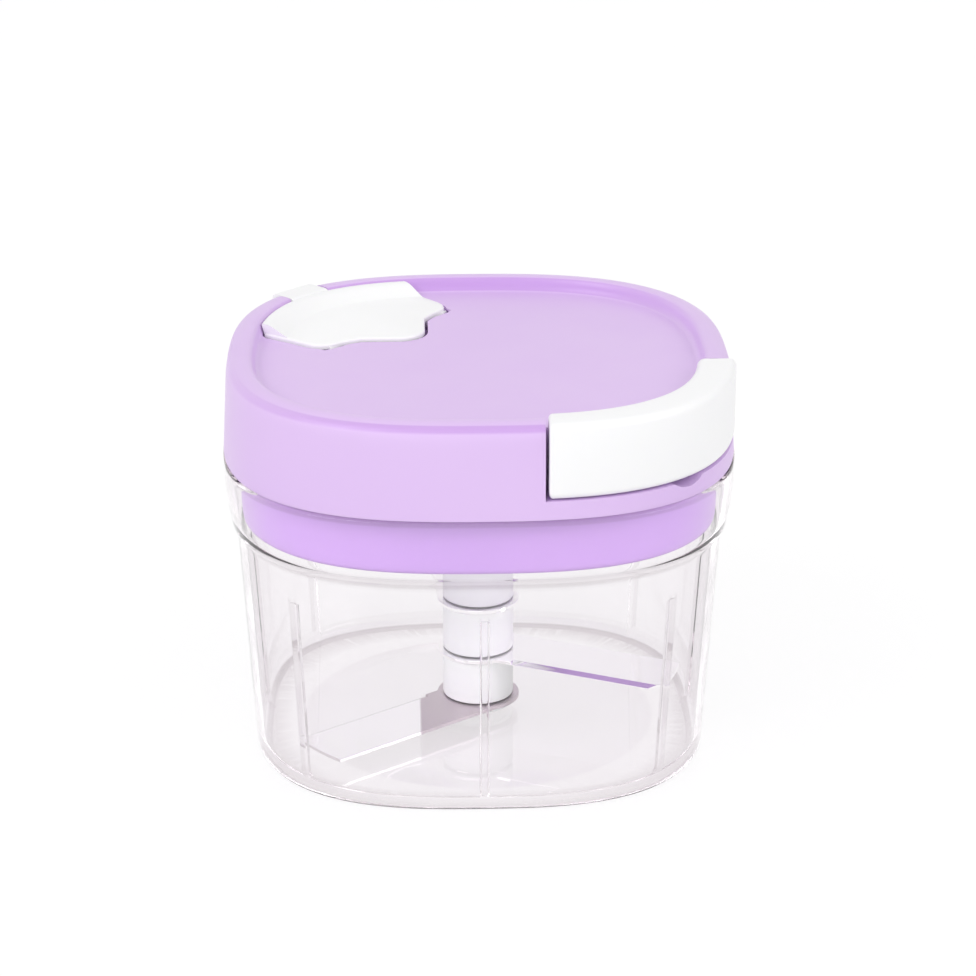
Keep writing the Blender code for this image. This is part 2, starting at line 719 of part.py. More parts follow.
def make_blade_unit(plastic, steel):
    flange_top = BLADE_LEVELS[0] - FIT
    core_low = flange_top - FLANGE_THICKNESS / 2.0
    core = cylinder("blade_shaft", CORE_RADIUS, core_low, CORE_TOP, plastic, steps=6)
    join(core, cylinder("shaft_flange", HUB_RADIUS, CORE_BOTTOM, flange_top))
    bore_top = PIN_TOP + PIN_TOP_CLEARANCE
    cut(core, cylinder("shaft_bore", PIN_RADIUS + FIT, CORE_BOTTOM - PAST, bore_top, steps=SMALL_STEPS))
    names = ("blade_lower", "blade_middle", "blade_upper")
    for name, level, degrees in zip(names, BLADE_LEVELS, BLADE_ANGLES):
        make_blade(name, level, degrees, steel)
    tops = (BLADE_LEVELS[1] - FIT, BLADE_LEVELS[2] - FIT, SLEEVE_TOP)
    names = ("hub_spacer_lower", "hub_spacer_middle", "hub_sleeve_upper")
    for name, level, top in zip(names, BLADE_LEVELS, tops):
        make_hub_ring(name, level + BLADE_THICKNESS + FIT, top, plastic)
    pin_bottom = BOWL_FLOOR + BOSS_HEIGHT - PIN_SEAT_DEPTH + FIT
    pin = [
        (0.0, PIN_TOP),
        (PIN_RADIUS - BEVEL, PIN_TOP),
        (PIN_RADIUS, PIN_TOP - BEVEL),
        (PIN_RADIUS, pin_bottom),
        (0.0, pin_bottom),
    ]
    turned("bowl_pin", pin, steel, steps=SMALL_STEPS, closed=False)


def lid_outer_stations():
    """The outside of the lid from its lower edge, over the rim and down into the recess."""
    stations = [(BOWL_RIM_HALF, LID_BOTTOM)]
    shoulder = LID_HEIGHT - LID_TOP_RADIUS
    for step in range(5):
        turn = math.radians(90.0 * step / 4)
        spread = LID_TOP_HALF - LID_TOP_RADIUS * (1.0 - math.cos(turn))
        stations.append((spread, shoulder + LID_TOP_RADIUS * math.sin(turn)))
    stations.append((RECESS_HALF + RECESS_FILLET, LID_HEIGHT))
    stations.append((RECESS_HALF, LID_HEIGHT - RECESS_FILLET))
    stations.append((RECESS_HALF - RECESS_DRAFT, RECESS_FLOOR + RECESS_FILLET))
    stations.append((RECESS_HALF - RECESS_DRAFT - RECESS_FILLET, RECESS_FLOOR))
    return stations


def lid_cavity():
    """The hollow under the lid's skin, with the places where plastic stays taken out of it."""
    stations = [
        (BOWL_RIM_HALF - LID_WALL, LID_BOTTOM - PAST),
        (LID_TOP_HALF - LID_WALL, LID_HEIGHT - LID_WALL - LID_TOP_RADIUS),
        (LID_TOP_HALF - LID_WALL - RECESS_FILLET, LID_HEIGHT - LID_WALL),
        (RECESS_HALF + LID_WALL, LID_HEIGHT - LID_WALL),
        (RECESS_HALF + LID_WALL - RECESS_DRAFT, SLAB_BOTTOM + RECESS_FILLET),
        (RECESS_HALF - RECESS_DRAFT, SLAB_BOTTOM),
    ]
    cavity = squircle_solid("lid_cavity", stations, LID_POWER)
    high = LID_HEIGHT + PAST
    wall_low = SEAT_BOTTOM - SEAT_LEDGE
    wall = rounded_section(SEAT_HALF - LID_WALL, BOWL_RIM_HALF + PAST, wall_low, high, SEAT_WALL_CORNER, 1)
    cut(cavity, swept_corner("handle_seat_wall", wall, SEAT_END - LID_WALL))
    tab_reach = FLAP_TAB_WIDTH / 2.0 + FLAP_RIM_GAP + LID_WALL
    low_corner = (TOP_CORNER_OUT - TAB_SEAT_LENGTH, -tab_reach, SLAB_BOTTOM - OPENING_LAP)
    cut(cavity, box("tab_seat_block", low_corner, (OUTSIDE_CORNER, tab_reach, high), turn=BACK_LEFT))
    cut(cavity, chute_block("chute_walls", CHUTE_WALL, DECK_TOP + FIT, high))
    for side in (-1.0, 1.0):
        ends = (side * (CHUTE_HALF_WIDTH - HINGE_BLOCK_LAP), side * (FLAP_TRUNNION_END + HINGE_BLOCK_END))
        places = sorted(ends)
        reach = FLAP_TRUNNION_RADIUS + CRADLE_GAP + CHUTE_WALL
        low_corner = (FLAP_HINGE_OUT - reach, places[0], FLAP_HINGE_HEIGHT - reach)
        high_corner = (FLAP_HINGE_OUT + reach, places[1], high)
        cut(cavity, box("hinge_block_%d" % side, low_corner, high_corner, turn=BACK_LEFT))
    cut(cavity, cylinder("axle_boss", AXLE_BOSS_RADIUS, AXLE_BOSS_BOTTOM, high))
    for index, place in enumerate(POST_PLACES):
        name = "screw_post_%d" % (index + 1)
        cut(cavity, cylinder(name, POST_RADIUS, DECK_TOP + FIT, high, centre=place, steps=SMALL_STEPS))
    return cavity


def chute_block(name, grow, bottom, top):
    """The fill chute and the quarter round above it that the inner end of the flap swings through."""
    low = CHUTE_INNER[0] - grow
    far = CHUTE_INNER[1] + grow
    radius = FLAP_SWING + grow
    below = max(FLAP_HINGE_HEIGHT - top, 0.0)
    start = 180.0 + math.degrees(math.asin(below / radius))
    end = 180.0 + math.degrees(math.acos((FLAP_HINGE_OUT - low) / radius))
    outline = [(far, bottom), (far, top)]
    if top > FLAP_HINGE_HEIGHT:
        outline.append((FLAP_HINGE_OUT - radius, top))
    outline += arc(FLAP_HINGE_OUT, FLAP_HINGE_HEIGHT, radius, start, end, 8)
    outline.append((low, bottom))
    half_width = CHUTE_HALF_WIDTH + grow
    return extruded(name, outline, -half_width, half_width, frame=across_diagonal(BACK_LEFT, 0.0, 0.0))


def flap_outline(grow):
    """Plan of the flap within the recess, in world X and Y, grown by a clearance."""
    edge = FLAP_EDGE - grow
    radius = FLAP_CORNER_RADIUS
    reach = OUTSIDE_HALF
    hinge_y = FLAP_HINGE_OUT / HALF_ROOT - edge
    ear = []
    for ahead, aside in FLAP_EAR:
        aside_grown = aside + grow if aside else aside
        ear.append((-edge + aside_grown, hinge_y + ahead + grow))
    ear.append((-edge + FLAP_EAR_ROOT[1] + grow, hinge_y + FLAP_EAR_ROOT[0]))
    ear.append((-edge, hinge_y - grow))
    corner = arc(-edge - radius, edge + radius, radius, 0.0, -90.0, 6)
    mirrored = [(-y, -x) for x, y in reversed(ear)]
    return [(-edge, reach)] + ear + corner + mirrored + [(-reach, edge), (-reach, reach)]


def flap_blank(name, grow, rim_gap, bottom, top, look=None):
    """The flap's plan inside the recess wall, between two levels."""
    blank = extruded(name, flap_outline(grow), bottom, top, look)
    half = RECESS_HALF - RECESS_DRAFT - rim_gap
    stations = [(half, bottom - PAST), (half, top + PAST)]
    combine(blank, squircle_solid(name + "_bound", stations, LID_POWER), "INTERSECT")
    return blank


def fill_opening():
    """The hole under the flap, which its inner end swings down through."""
    edge = FLAP_EDGE - FLAP_GAP - OPENING_LIP / 2.0
    radius = FLAP_CORNER_RADIUS
    far = CHUTE_INNER[1] - OPENING_LIP
    side = CHUTE_HALF_WIDTH - OPENING_LIP
    turn = Matrix.Rotation(math.radians(-BACK_LEFT), 2)
    tip = [turn @ Vector(point) for point in arc(-edge - radius, edge + radius, radius, 0.0, -90.0, 6)]
    meet = edge / HALF_ROOT + side
    points = [(point.x, point.y) for point in tip]
    points += [(meet, side), (far, side), (far, -side), (meet, -side)]
    frame = Matrix.Rotation(math.radians(BACK_LEFT), 4, "Z")
    low = SLAB_BOTTOM - OPENING_LAP
    return extruded("fill_opening", points, low, FLAP_BOTTOM + OPENING_LIP, frame=frame)


def make_lid_cover(look):
    stations = [(BOWL_RIM_HALF - 2 * LID_WALL, LID_BOTTOM)] + lid_outer_stations()
    cover = squircle_solid("lid_cover", stations, LID_POWER, look)
    cut(cover, lid_cavity())
    high = LID_HEIGHT + 2 * PAST
    seat = rounded_section(SEAT_HALF, OUTSIDE_HALF, SEAT_BOTTOM, high, SEAT_CORNER, 1)
    cut(cover, swept_corner("handle_seat", seat, SEAT_END))
    scoop_centre = SEAT_BOTTOM - FINGER_SCOOP_DEPTH + FINGER_SCOOP_RADIUS
    scoop_frame = along_diagonal(FRONT_RIGHT, scoop_centre)
    start = CORNER_OUT - FINGER_SCOOP_LENGTH
    scoop = cylinder("finger_scoop", FINGER_SCOOP_RADIUS, start, OUTSIDE_CORNER, steps=24, frame=scoop_frame)
    cut(cover, scoop)
    eyelet_frame = along_diagonal(FRONT_RIGHT, EYELET_HEIGHT)
    near = eyelet_mouth() - PAST
    far = eyelet_mouth() + EYELET_FLANGE + LID_WALL + PAST
    hole = cylinder("eyelet_hole", EYELET_RADIUS + FIT, near, far, steps=SMALL_STEPS, frame=eyelet_frame)
    cut(cover, hole)
    seat_radius = EYELET_FLANGE_RADIUS + FIT
    seat_end = eyelet_mouth() + EYELET_FLANGE + FIT
    cut(cover, cylinder("eyelet_seat", seat_radius, near, seat_end, steps=20, frame=eyelet_frame))
    cut(cover, flap_blank("flap_seat", FLAP_GAP, -FLAP_SEAT_BITE, FLAP_BOTTOM - FIT, high))
    cut(cover, fill_opening())
    slot = FLAP_TAB_WIDTH / 2.0 + FLAP_RIM_GAP
    low_corner = (TOP_CORNER_OUT - TAB_SLOT_LENGTH, -slot, FLAP_BOTTOM - FIT)
    cut(cover, box("tab_slot", low_corner, (OUTSIDE_CORNER, slot, high), turn=BACK_LEFT))
    cut(cover, chute_block("chute_bore", 0.0, DECK_TOP - PAST, SLAB_BOTTOM + OPENING_LAP))
    for side in (-1.0, 1.0):
        cradle_ends = sorted((side * FLAP_TRUNNION_START, side * (FLAP_TRUNNION_END + CRADLE_END_GAP)))
        frame = across_diagonal(BACK_LEFT, FLAP_HINGE_HEIGHT, FLAP_HINGE_OUT)
        radius = FLAP_TRUNNION_RADIUS + CRADLE_GAP
        outline = arc(0.0, 0.0, radius, 180.0, 360.0, 8) + [(radius, CRADLE_RISE), (-radius, CRADLE_RISE)]
        cut(cover, extruded("cradle_%d" % side, outline, cradle_ends[0], cradle_ends[1], frame=frame))
        pin_end = FLAP_TRUNNION_END - FLAP_PIN_INSET + FLAP_PIN_LENGTH
        pin_ends = sorted((side * FLAP_TRUNNION_END, side * (pin_end + FIT)))
        bore = FLAP_PIN_RADIUS + FIT
        half_facet = frame @ Matrix.Rotation(math.pi / 12, 4, "Z")
        cut(cover, cylinder("hinge_bore_%d" % side, bore, pin_ends[0], pin_ends[1], steps=12, frame=half_facet))
    low = AXLE_BOSS_BOTTOM - PAST
    cut(cover, cylinder("axle_socket", AXLE_TOP_RADIUS + FIT, low, AXLE_TOP + FIT, steps=SMALL_STEPS))
    for index, place in enumerate(POST_PLACES):
        name = "pilot_%d" % (index + 1)
        depth = DECK_BOTTOM + SCREW_LENGTH + SCREW_TAP
        cut(cover, cylinder(name, SCREW_RADIUS + FIT, DECK_TOP - PAST, depth, centre=place, steps=12))
    return cover


def make_lid_base(look):
    inner = SKIRT_HALF - LID_WALL
    stations = [(inner - BEVEL, DECK_BOTTOM), (inner, SKIRT_BOTTOM + BEVEL), (inner + BEVEL, SKIRT_BOTTOM)]
    for step in range(4):
        turn = math.radians(90.0 * step / 3)
        spread = SKIRT_HALF - SKIRT_EDGE + SKIRT_EDGE * math.sin(turn)
        stations.append((spread, SKIRT_BOTTOM + SKIRT_EDGE * (1.0 - math.cos(turn))))
    stations += [(SKIRT_HALF, SKIRT_TOP), (inner, SKIRT_TOP), (inner, DECK_TOP)]
    base = squircle_solid("lid_base", stations, LID_POWER, look)
    bearing_radius = BUSH_RADIUS + FIT + BEARING_WALL
    join(base, cylinder("bearing_boss", bearing_radius, DECK_BOTTOM + BEVEL, BEARING_BOSS_TOP))
    deck_below = DECK_BOTTOM - PAST
    deck_above = DECK_TOP + PAST
    cut(base, cylinder("bush_bore", BUSH_RADIUS + FIT, deck_below, BEARING_BOSS_TOP + PAST))
    low, far = CHUTE_INNER
    hole_low = (low + RUNNING, -CHUTE_HALF_WIDTH + RUNNING, deck_below)
    hole_high = (far - RUNNING, CHUTE_HALF_WIDTH - RUNNING, deck_above)
    cut(base, box("chute_hole", hole_low, hole_high, turn=BACK_LEFT))
    for index, place in enumerate(POST_PLACES):
        name = "screw_hole_%d" % (index + 1)
        cut(base, cylinder(name, SCREW_RADIUS + FIT, deck_below, deck_above, centre=place, steps=12))
    return base


def screw_profile(head_bottom):
    """A pan-head screw, head down, with its shank above."""
    head_top = head_bottom + SCREW_HEAD
    tip = head_top + SCREW_LENGTH
    return [
        (0.0, tip),
        (SCREW_RADIUS - BEVEL, tip - BEVEL),
        (SCREW_RADIUS, tip - SCREW_POINT),
        (SCREW_RADIUS, head_top),
        (SCREW_HEAD_RADIUS, head_top),
        (SCREW_HEAD_RADIUS, head_bottom + SCREW_HEAD_ROUND),
        (SCREW_HEAD_RADIUS - SCREW_HEAD_ROUND, head_bottom),
        (0.0, head_bottom),
    ]


def make_lid_screws(steel):
    """Four screws through the deck into the posts of the cover."""
    profile = screw_profile(DECK_BOTTOM - FIT - SCREW_HEAD)
    for index, place in enumerate(POST_PLACES):
        screw = turned("lid_screw_%d" % (index + 1), profile, steel, steps=12, closed=False)
        screw.location = (*place, 0.0)


def make_handle(plastic, cord_look):
    near, far = HANDLE_INNER_HALF, HANDLE_OUTER_HALF
    section = rounded_section(near, far, HANDLE_BOTTOM, HANDLE_TOP, HANDLE_EDGE_RADIUS)
    grip = swept_corner("handle_grip", section, HANDLE_END, plastic, end_inset=HANDLE_END_RADIUS)
    pocket_low = HANDLE_BOTTOM + HANDLE_WALL
    pocket_high = RECESS_FLOOR - 2 * FIT
    pocket_far = HANDLE_OUTER_HALF - HANDLE_WALL
    pocket_end = HANDLE_END + HANDLE_WALL
    pocket_near = HANDLE_INNER_HALF - PAST
    pocket = rounded_section(pocket_near, pocket_far, pocket_low, pocket_high, HANDLE_INSIDE_RADIUS, 1)
    cut(grip, swept_corner("handle_pocket", pocket, pocket_end))
    back_low = HANDLE_INNER_HALF + FIT
    back_high = back_low + HANDLE_BACK_THICKNESS
    low, high = pocket_low + FIT, pocket_high - FIT
    back_section = rounded_section(back_low, back_high, low, high, HANDLE_BACK_RADIUS, 1)
    back = swept_corner("handle_back", back_section, pocket_end + FIT, plastic)
    frame = along_diagonal(FRONT_RIGHT, EYELET_HEIGHT)
    hole_radius = CORD_RADIUS + CORD_HOLE_GAP
    cut(back, cylinder("cord_hole", hole_radius, eyelet_mouth(), OUTSIDE_CORNER, steps=12, frame=frame))
    back_face = squircle_radius(back_high, LID_POWER, math.radians(FRONT_RIGHT))
    knot_out = back_face + FIT + KNOT_RADIUS
    builder = bmesh.new()
    bmesh.ops.create_uvsphere(builder, u_segments=12, v_segments=8, radius=KNOT_RADIUS)
    place = along_diagonal(FRONT_RIGHT, EYELET_HEIGHT, knot_out)
    bmesh.ops.transform(builder, matrix=place, verts=builder.verts)
    finish_mesh("cord_knot", builder, cord_look)
    return knot_out - KNOT_RADIUS - FIT


def make_flap(plastic, steel):
    flap = flap_blank("flap", 0.0, FLAP_RIM_GAP, FLAP_BOTTOM, FLAP_TOP, plastic)
    half_tab = FLAP_TAB_WIDTH / 2.0
    outer = TOP_CORNER_OUT
    crest = outer - FLAP_TAB_CREST
    slope = crest - FLAP_TAB_SLOPE
    root = slope - FLAP_TAB_ROOT
    tab = [
        (root, FLAP_BOTTOM),
        (outer - BEVEL, FLAP_BOTTOM),
        (outer, FLAP_BOTTOM + BEVEL),
        (outer, FLAP_TAB_TOP - FLAP_TAB_ROUND),
        (outer - FLAP_TAB_ROUND, FLAP_TAB_TOP),
        (crest, FLAP_TAB_TOP),
        (slope, FLAP_TOP - FLAP_TAB_DROP),
        (root, FLAP_TOP - FLAP_TAB_DROP),
    ]
    join(flap, extruded("flap_tab", tab, -half_tab, half_tab, frame=across_diagonal(BACK_LEFT, 0.0, 0.0)))
    frame = across_diagonal(BACK_LEFT, FLAP_HINGE_HEIGHT, FLAP_HINGE_OUT)
    for side in (-1.0, 1.0):
        ends = sorted((side * FLAP_TRUNNION_START, side * FLAP_TRUNNION_END))
        name = "trunnion_%d" % side
        join(flap, cylinder(name, FLAP_TRUNNION_RADIUS, *ends, steps=SMALL_STEPS, frame=frame))
        bore_start = FLAP_TRUNNION_END - FLAP_PIN_INSET - FIT
        bore_ends = sorted((side * bore_start, side * (FLAP_TRUNNION_END + PAST)))
        bore = FLAP_PIN_RADIUS + FIT
        cut(flap, cylinder("trunnion_bore_%d" % side, bore, *bore_ends, steps=12, frame=frame))
    direction = Vector((-HALF_ROOT, HALF_ROOT, 0.0))
    put_origin(flap, direction * FLAP_HINGE_OUT + Vector((0.0, 0.0, FLAP_HINGE_HEIGHT)))
    for name, side in (("flap_pin_right", -1.0), ("flap_pin_left", 1.0)):
        inner_end = FLAP_TRUNNION_END - FLAP_PIN_INSET
        ends = sorted((side * inner_end, side * (inner_end + FLAP_PIN_LENGTH)))
        cylinder(name, FLAP_PIN_RADIUS, *ends, steel, steps=12, frame=frame)
    return flap


def make_reel(nylon, steel, cord_look):
    reel_profile = [
        (SPRING_POCKET, REEL_TOP),
        (REEL_RADIUS, REEL_TOP),
        (REEL_RADIUS, REEL_TOP - REEL_FLANGE),
        (DRUM_RADIUS, REEL_TOP - REEL_FLANGE),
        (DRUM_RADIUS, REEL_BOTTOM + REEL_FLANGE),
        (REEL_RADIUS, REEL_BOTTOM + REEL_FLANGE),
        (REEL_RADIUS, REEL_BOTTOM),
        (AXLE_RADIUS + FIT, REEL_BOTTOM),
        (AXLE_RADIUS + FIT, WEB_TOP),
        (SPRING_POCKET, WEB_TOP),
    ]
    reel = turned("cord_reel", reel_profile, nylon, steps=REEL_STEPS)
    for name, side in (("pawl_pin_right", 0.0), ("pawl_pin_left", 180.0)):
        spot = pawl_pivot(side)
        top = WEB_TOP + PAST
        cut(reel, cylinder(name + "_hole", PAWL_PIN_RADIUS + FIT, PAWL_BOTTOM, top, centre=spot, steps=12))
        cylinder(name, PAWL_PIN_RADIUS, PAWL_BOTTOM, WEB_TOP - FIT, steel, centre=spot, steps=12)
    cap = [
        (AXLE_TOP_RADIUS + FIT, REEL_TOP),
        (SPRING_POCKET - FIT, REEL_TOP),
        (SPRING_POCKET - FIT, REEL_TOP - CAP_THICKNESS),
        (AXLE_TOP_RADIUS + FIT, REEL_TOP - CAP_THICKNESS),
    ]
    turned("spring_cap", cap, nylon, steps=REEL_STEPS)
    axle = [
        (0.0, AXLE_TOP),
        (AXLE_TOP_RADIUS, AXLE_TOP),
        (AXLE_TOP_RADIUS, SPRING_TOP),
        (ARBOR_RADIUS, SPRING_TOP),
        (ARBOR_RADIUS, SPRING_BOTTOM),
        (AXLE_RADIUS, SPRING_BOTTOM),
        (AXLE_RADIUS, AXLE_BOTTOM + AXLE_BEVEL),
        (AXLE_RADIUS - AXLE_BEVEL, AXLE_BOTTOM),
        (0.0, AXLE_BOTTOM),
    ]
    turned("reel_axle", axle, steel, steps=24, closed=False)
    clip_top = REEL_BOTTOM - FIT
    clip = [
        (AXLE_RADIUS + FIT, clip_top),
        (CLIP_RADIUS, clip_top),
        (CLIP_RADIUS, clip_top - CLIP_THICKNESS),
        (AXLE_RADIUS + FIT, clip_top - CLIP_THICKNESS),
    ]
    turned("axle_clip", clip, steel, steps=24)
    make_spring(steel)
    winding = []
    count = round(CORD_TURNS * WINDING_STEPS)
    end_angle = lead_angle()
    for step in range(count + 1):
        back = (count - step) / WINDING_STEPS
        angle = end_angle + 2.0 * math.pi * back
        height = WINDING_TOP - CORD_PITCH * back
        winding.append((WINDING_RADIUS * math.cos(angle), WINDING_RADIUS * math.sin(angle), height))
    tube("cord_winding", winding, CORD_RADIUS, cord_look, 1)


def make_spring(steel):
    """A flat strip wound in a spiral from the arbor out to the drum's wall."""
    inner = ARBOR_RADIUS + FIT + SPRING_THICKNESS / 2.0
    outer = SPRING_POCKET - FIT - SPRING_THICKNESS / 2.0
    count = SPRING_TURNS * WINDING_STEPS
    rings = []
    for step in range(count + 1):
        angle = 2.0 * math.pi * step / WINDING_STEPS
        radius = inner + (outer - inner) * step / count
        near = radius - SPRING_THICKNESS / 2.0
        far = radius + SPRING_THICKNESS / 2.0
        across = (math.cos(angle), math.sin(angle))
        rings.append([
            (near * across[0], near * across[1], SPRING_BOTTOM),
            (far * across[0], far * across[1], SPRING_BOTTOM),
            (far * across[0], far * across[1], SPRING_TOP),
            (near * across[0], near * across[1], SPRING_TOP),
        ])
    return lofted("recoil_spring", rings, steel)


def eyelet_mouth():
    """How far out along the front right diagonal the inner face of the eyelet lies."""
    wall = squircle_radius(SEAT_HALF - LID_WALL, LID_POWER, math.radians(FRONT_RIGHT))
    return wall + EYELET_SEAT_DEPTH - FIT - EYELET_FLANGE


def lead_angle():
    """Where the cord leaves the drum, so that it runs straight to the eyelet."""
    return math.radians(FRONT_RIGHT) + math.acos(WINDING_RADIUS / eyelet_mouth())


def make_cord_lead(cord_look, end_out):
    """The cord from the drum, through the eyelet and to the knot in the handle."""
    angle = lead_angle()
    leave = Vector((WINDING_RADIUS * math.cos(angle), WINDING_RADIUS * math.sin(angle), WINDING_TOP))
    outward = Vector((HALF_ROOT, -HALF_ROOT, 0.0))
    mouth = outward * eyelet_mouth() + Vector((0.0, 0.0, EYELET_HEIGHT))
    straight = Vector((mouth.x - leave.x, mouth.y - leave.y, 0.0))
    start = leave + straight.normalized() * FIT
    climb = Vector((0.0, 0.0, EYELET_HEIGHT - WINDING_TOP))
    points = [start]
    for share, risen in CORD_CLIMB:
        points.append(start + straight * share + climb * risen)
    points.append(mouth)
    points.append(outward * (eyelet_mouth() + EYELET_LEAD) + Vector((0.0, 0.0, EYELET_HEIGHT)))
    points.append(outward * end_out + Vector((0.0, 0.0, EYELET_HEIGHT)))
    tube("pull_cord", smooth_route(points, CORD_ROUTE_STEP), CORD_RADIUS, cord_look)


def make_eyelet(steel):
    mouth = eyelet_mouth()
    wall_out = squircle_radius(SEAT_HALF, LID_POWER, math.radians(FRONT_RIGHT))
    profile = [
        (EYELET_BORE, wall_out),
        (EYELET_RADIUS, wall_out),
        (EYELET_RADIUS, mouth + EYELET_FLANGE),
        (EYELET_FLANGE_RADIUS, mouth + EYELET_FLANGE),
        (EYELET_FLANGE_RADIUS, mouth + BEVEL),
        (EYELET_FLANGE_RADIUS - BEVEL, mouth),
        (EYELET_BORE + BEVEL, mouth),
        (EYELET_BORE, mouth + BEVEL),
    ]
    eyelet = turned("cord_eyelet", profile, steel, steps=20)
    eyelet.matrix_world = along_diagonal(FRONT_RIGHT, EYELET_HEIGHT)
    return eyelet


def ratchet_outline():
    """Saw teeth whose steep faces are pushed clockwise."""
    points = []
    pitch = 360.0 / RATCHET_TEETH
    for tooth in range(RATCHET_TEETH):
        start = pitch * tooth
        for share in (0.0, 0.35, 0.7, 1.0):
            angle = math.radians(start + pitch * share)
            radius = RATCHET_ROOT + (RATCHET_TIP - RATCHET_ROOT) * share
            points.append((radius * math.cos(angle), radius * math.sin(angle)))
    return points


def pawl_pivot(side):
    angle = math.radians(PAWL_PIVOT_ANGLE + side)
    return (PAWL_PIVOT_RADIUS * math.cos(angle), PAWL_PIVOT_RADIUS * math.sin(angle))


def make_pawl(name, side, nylon):
    """A lever from its pin on the reel to the steep face of a tooth."""
    nose = RATCHET_ROOT + FIT
    ahead = math.degrees(FIT / RATCHET_ROOT)
    pivot_angle = math.radians(PAWL_PIVOT_ANGLE)
    pivot = Vector(pawl_pivot(0.0))
    face = Vector((math.cos(math.radians(ahead)), math.sin(math.radians(ahead))))
    lean = face * nose
    outer = face * (RATCHET_TIP + PAWL_PROUD)
    radial = Vector((math.cos(pivot_angle), math.sin(pivot_angle)))
    sweep = Vector((radial.y, -radial.x))
    cheek_out, cheek_along = PAWL_CHEEK
    far = pivot + (radial * cheek_out + sweep * cheek_along) * PAWL_BOSS
    near = pivot - (radial * cheek_out - sweep * cheek_along) * PAWL_BOSS
    heel_angle = math.radians(ahead + PAWL_HEEL_ANGLE)
    heel = Vector((math.cos(heel_angle), math.sin(heel_angle))) * (nose + PAWL_PROUD)
    turn = Matrix.Rotation(math.radians(side), 4, "Z")
    outline = [tuple(point) for point in (lean, outer, far, near, heel)]
    pawl = extruded(name, outline, PAWL_BOTTOM, PAWL_TOP, nylon, frame=turn)
    spot = pawl_pivot(side)
    join(pawl, cylinder(name + "_boss", PAWL_BOSS, PAWL_BOTTOM, PAWL_TOP, centre=spot, steps=SMALL_STEPS))
    low, high = PAWL_BOTTOM - PAST, PAWL_TOP + PAST
    cut(pawl, cylinder(name + "_bore", PAWL_PIN_RADIUS + FIT, low, high, centre=spot, steps=12))
    put_origin(pawl, (*spot, 0.0))
    return pawl


def make_drive(nylon, steel):
    spindle = extruded("drive_spindle", ratchet_outline(), RATCHET_BOTTOM, RATCHET_TOP, nylon)
    shaft_low = COUPLING_TOP + FIT
    join(spindle, cylinder("spindle_shaft", SPINDLE_RADIUS, shaft_low, RATCHET_BOTTOM + BEVEL))
    join(spindle, cylinder("spindle_end", SPINDLE_KEY_RADIUS, SPINDLE_BOTTOM, shaft_low + BEVEL, steps=6))
    pilot_low = AXLE_BOTTOM - FIT
    cut(spindle, cylinder("spindle_pilot", AXLE_RADIUS + FIT, pilot_low, RATCHET_TOP + PAST, steps=24))
    screw_head = COUPLING_SOCKET_TOP - FIT - SCREW_HEAD
    tap_top = screw_head + SCREW_HEAD + SCREW_LENGTH + FIT
    cut(spindle, cylinder("spindle_tap", SCREW_RADIUS + FIT, SPINDLE_BOTTOM - PAST, tap_top, steps=12))
    bush = [
        (SPINDLE_RADIUS + FIT, BEARING_BOSS_TOP + FIT + BUSH_FLANGE),
        (BUSH_FLANGE_RADIUS, BEARING_BOSS_TOP + FIT + BUSH_FLANGE),
        (BUSH_FLANGE_RADIUS, BEARING_BOSS_TOP + FIT),
        (BUSH_RADIUS, BEARING_BOSS_TOP + FIT),
        (BUSH_RADIUS, DECK_BOTTOM),
        (SPINDLE_RADIUS + FIT, DECK_BOTTOM),
    ]
    turned("spindle_bush", bush, steel, steps=24)
    coupling_profile = [
        (0.0, COUPLING_TOP),
        (COUPLING_RADIUS - COUPLING_BEVEL, COUPLING_TOP),
        (COUPLING_RADIUS, COUPLING_TOP - COUPLING_BEVEL),
        (COUPLING_RADIUS, COUPLING_BOTTOM + BEVEL),
        (COUPLING_RADIUS - BEVEL, COUPLING_BOTTOM),
        (0.0, COUPLING_BOTTOM),
    ]
    coupling = turned("drive_coupling", coupling_profile, nylon, closed=False)
    below = COUPLING_BOTTOM - PAST
    above = COUPLING_TOP + PAST
    key_low = SPINDLE_BOTTOM - FIT
    cut(coupling, cylinder("drive_socket", CORE_RADIUS + RUNNING, below, COUPLING_SOCKET_TOP, steps=6))
    cut(coupling, cylinder("spindle_socket", SPINDLE_KEY_RADIUS + FIT, key_low, above, steps=6))
    cut(coupling, cylinder("coupling_hole", SCREW_RADIUS + FIT, below, above, steps=12))
    screw = turned("spindle_screw", screw_profile(screw_head), steel, steps=SMALL_STEPS, closed=False)
    return screw


def build():
    clear_scene()
    make_collections()
    clear = material("clear_plastic", CLEAR, 0.06, alpha=CLEAR_ALPHA)
    lilac = material("lilac_plastic", LILAC, 0.35)
    white = material("white_plastic", WHITE, 0.30)
    hub_white = material("hub_plastic", WHITE, 0.40)
    steel = material("blade_steel", STEEL, 0.18, metallic=1.0)
    fixing = material("fixing_steel", STEEL, 0.30, metallic=1.0)
    nylon = material("mechanism_nylon", NYLON, 0.45)
    cord_look = material("cord_nylon", CORD_WHITE, 0.85)
    make_bowl(clear)
    make_blade_unit(hub_white, steel)
    make_lid_cover(lilac)
    make_lid_base(lilac)
    make_lid_screws(fixing)
    cord_end = make_handle(white, cord_look)
    make_flap(white, fixing)
    make_reel(nylon, fixing, cord_look)
    make_eyelet(fixing)
    make_cord_lead(cord_look, cord_end)
    make_drive(nylon, fixing)
    make_pawl("pawl_right", 0.0, nylon)
    make_pawl("pawl_left", 180.0, nylon)


build()
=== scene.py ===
"""Looks of the pull-cord vegetable chopper: fine mouldings, ground blades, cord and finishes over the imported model.

Metres, +Z up, the front is -Y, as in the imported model. The pull handle is at the front right corner.
"""
import math

import bmesh
import bpy
from mathutils import Matrix, Vector


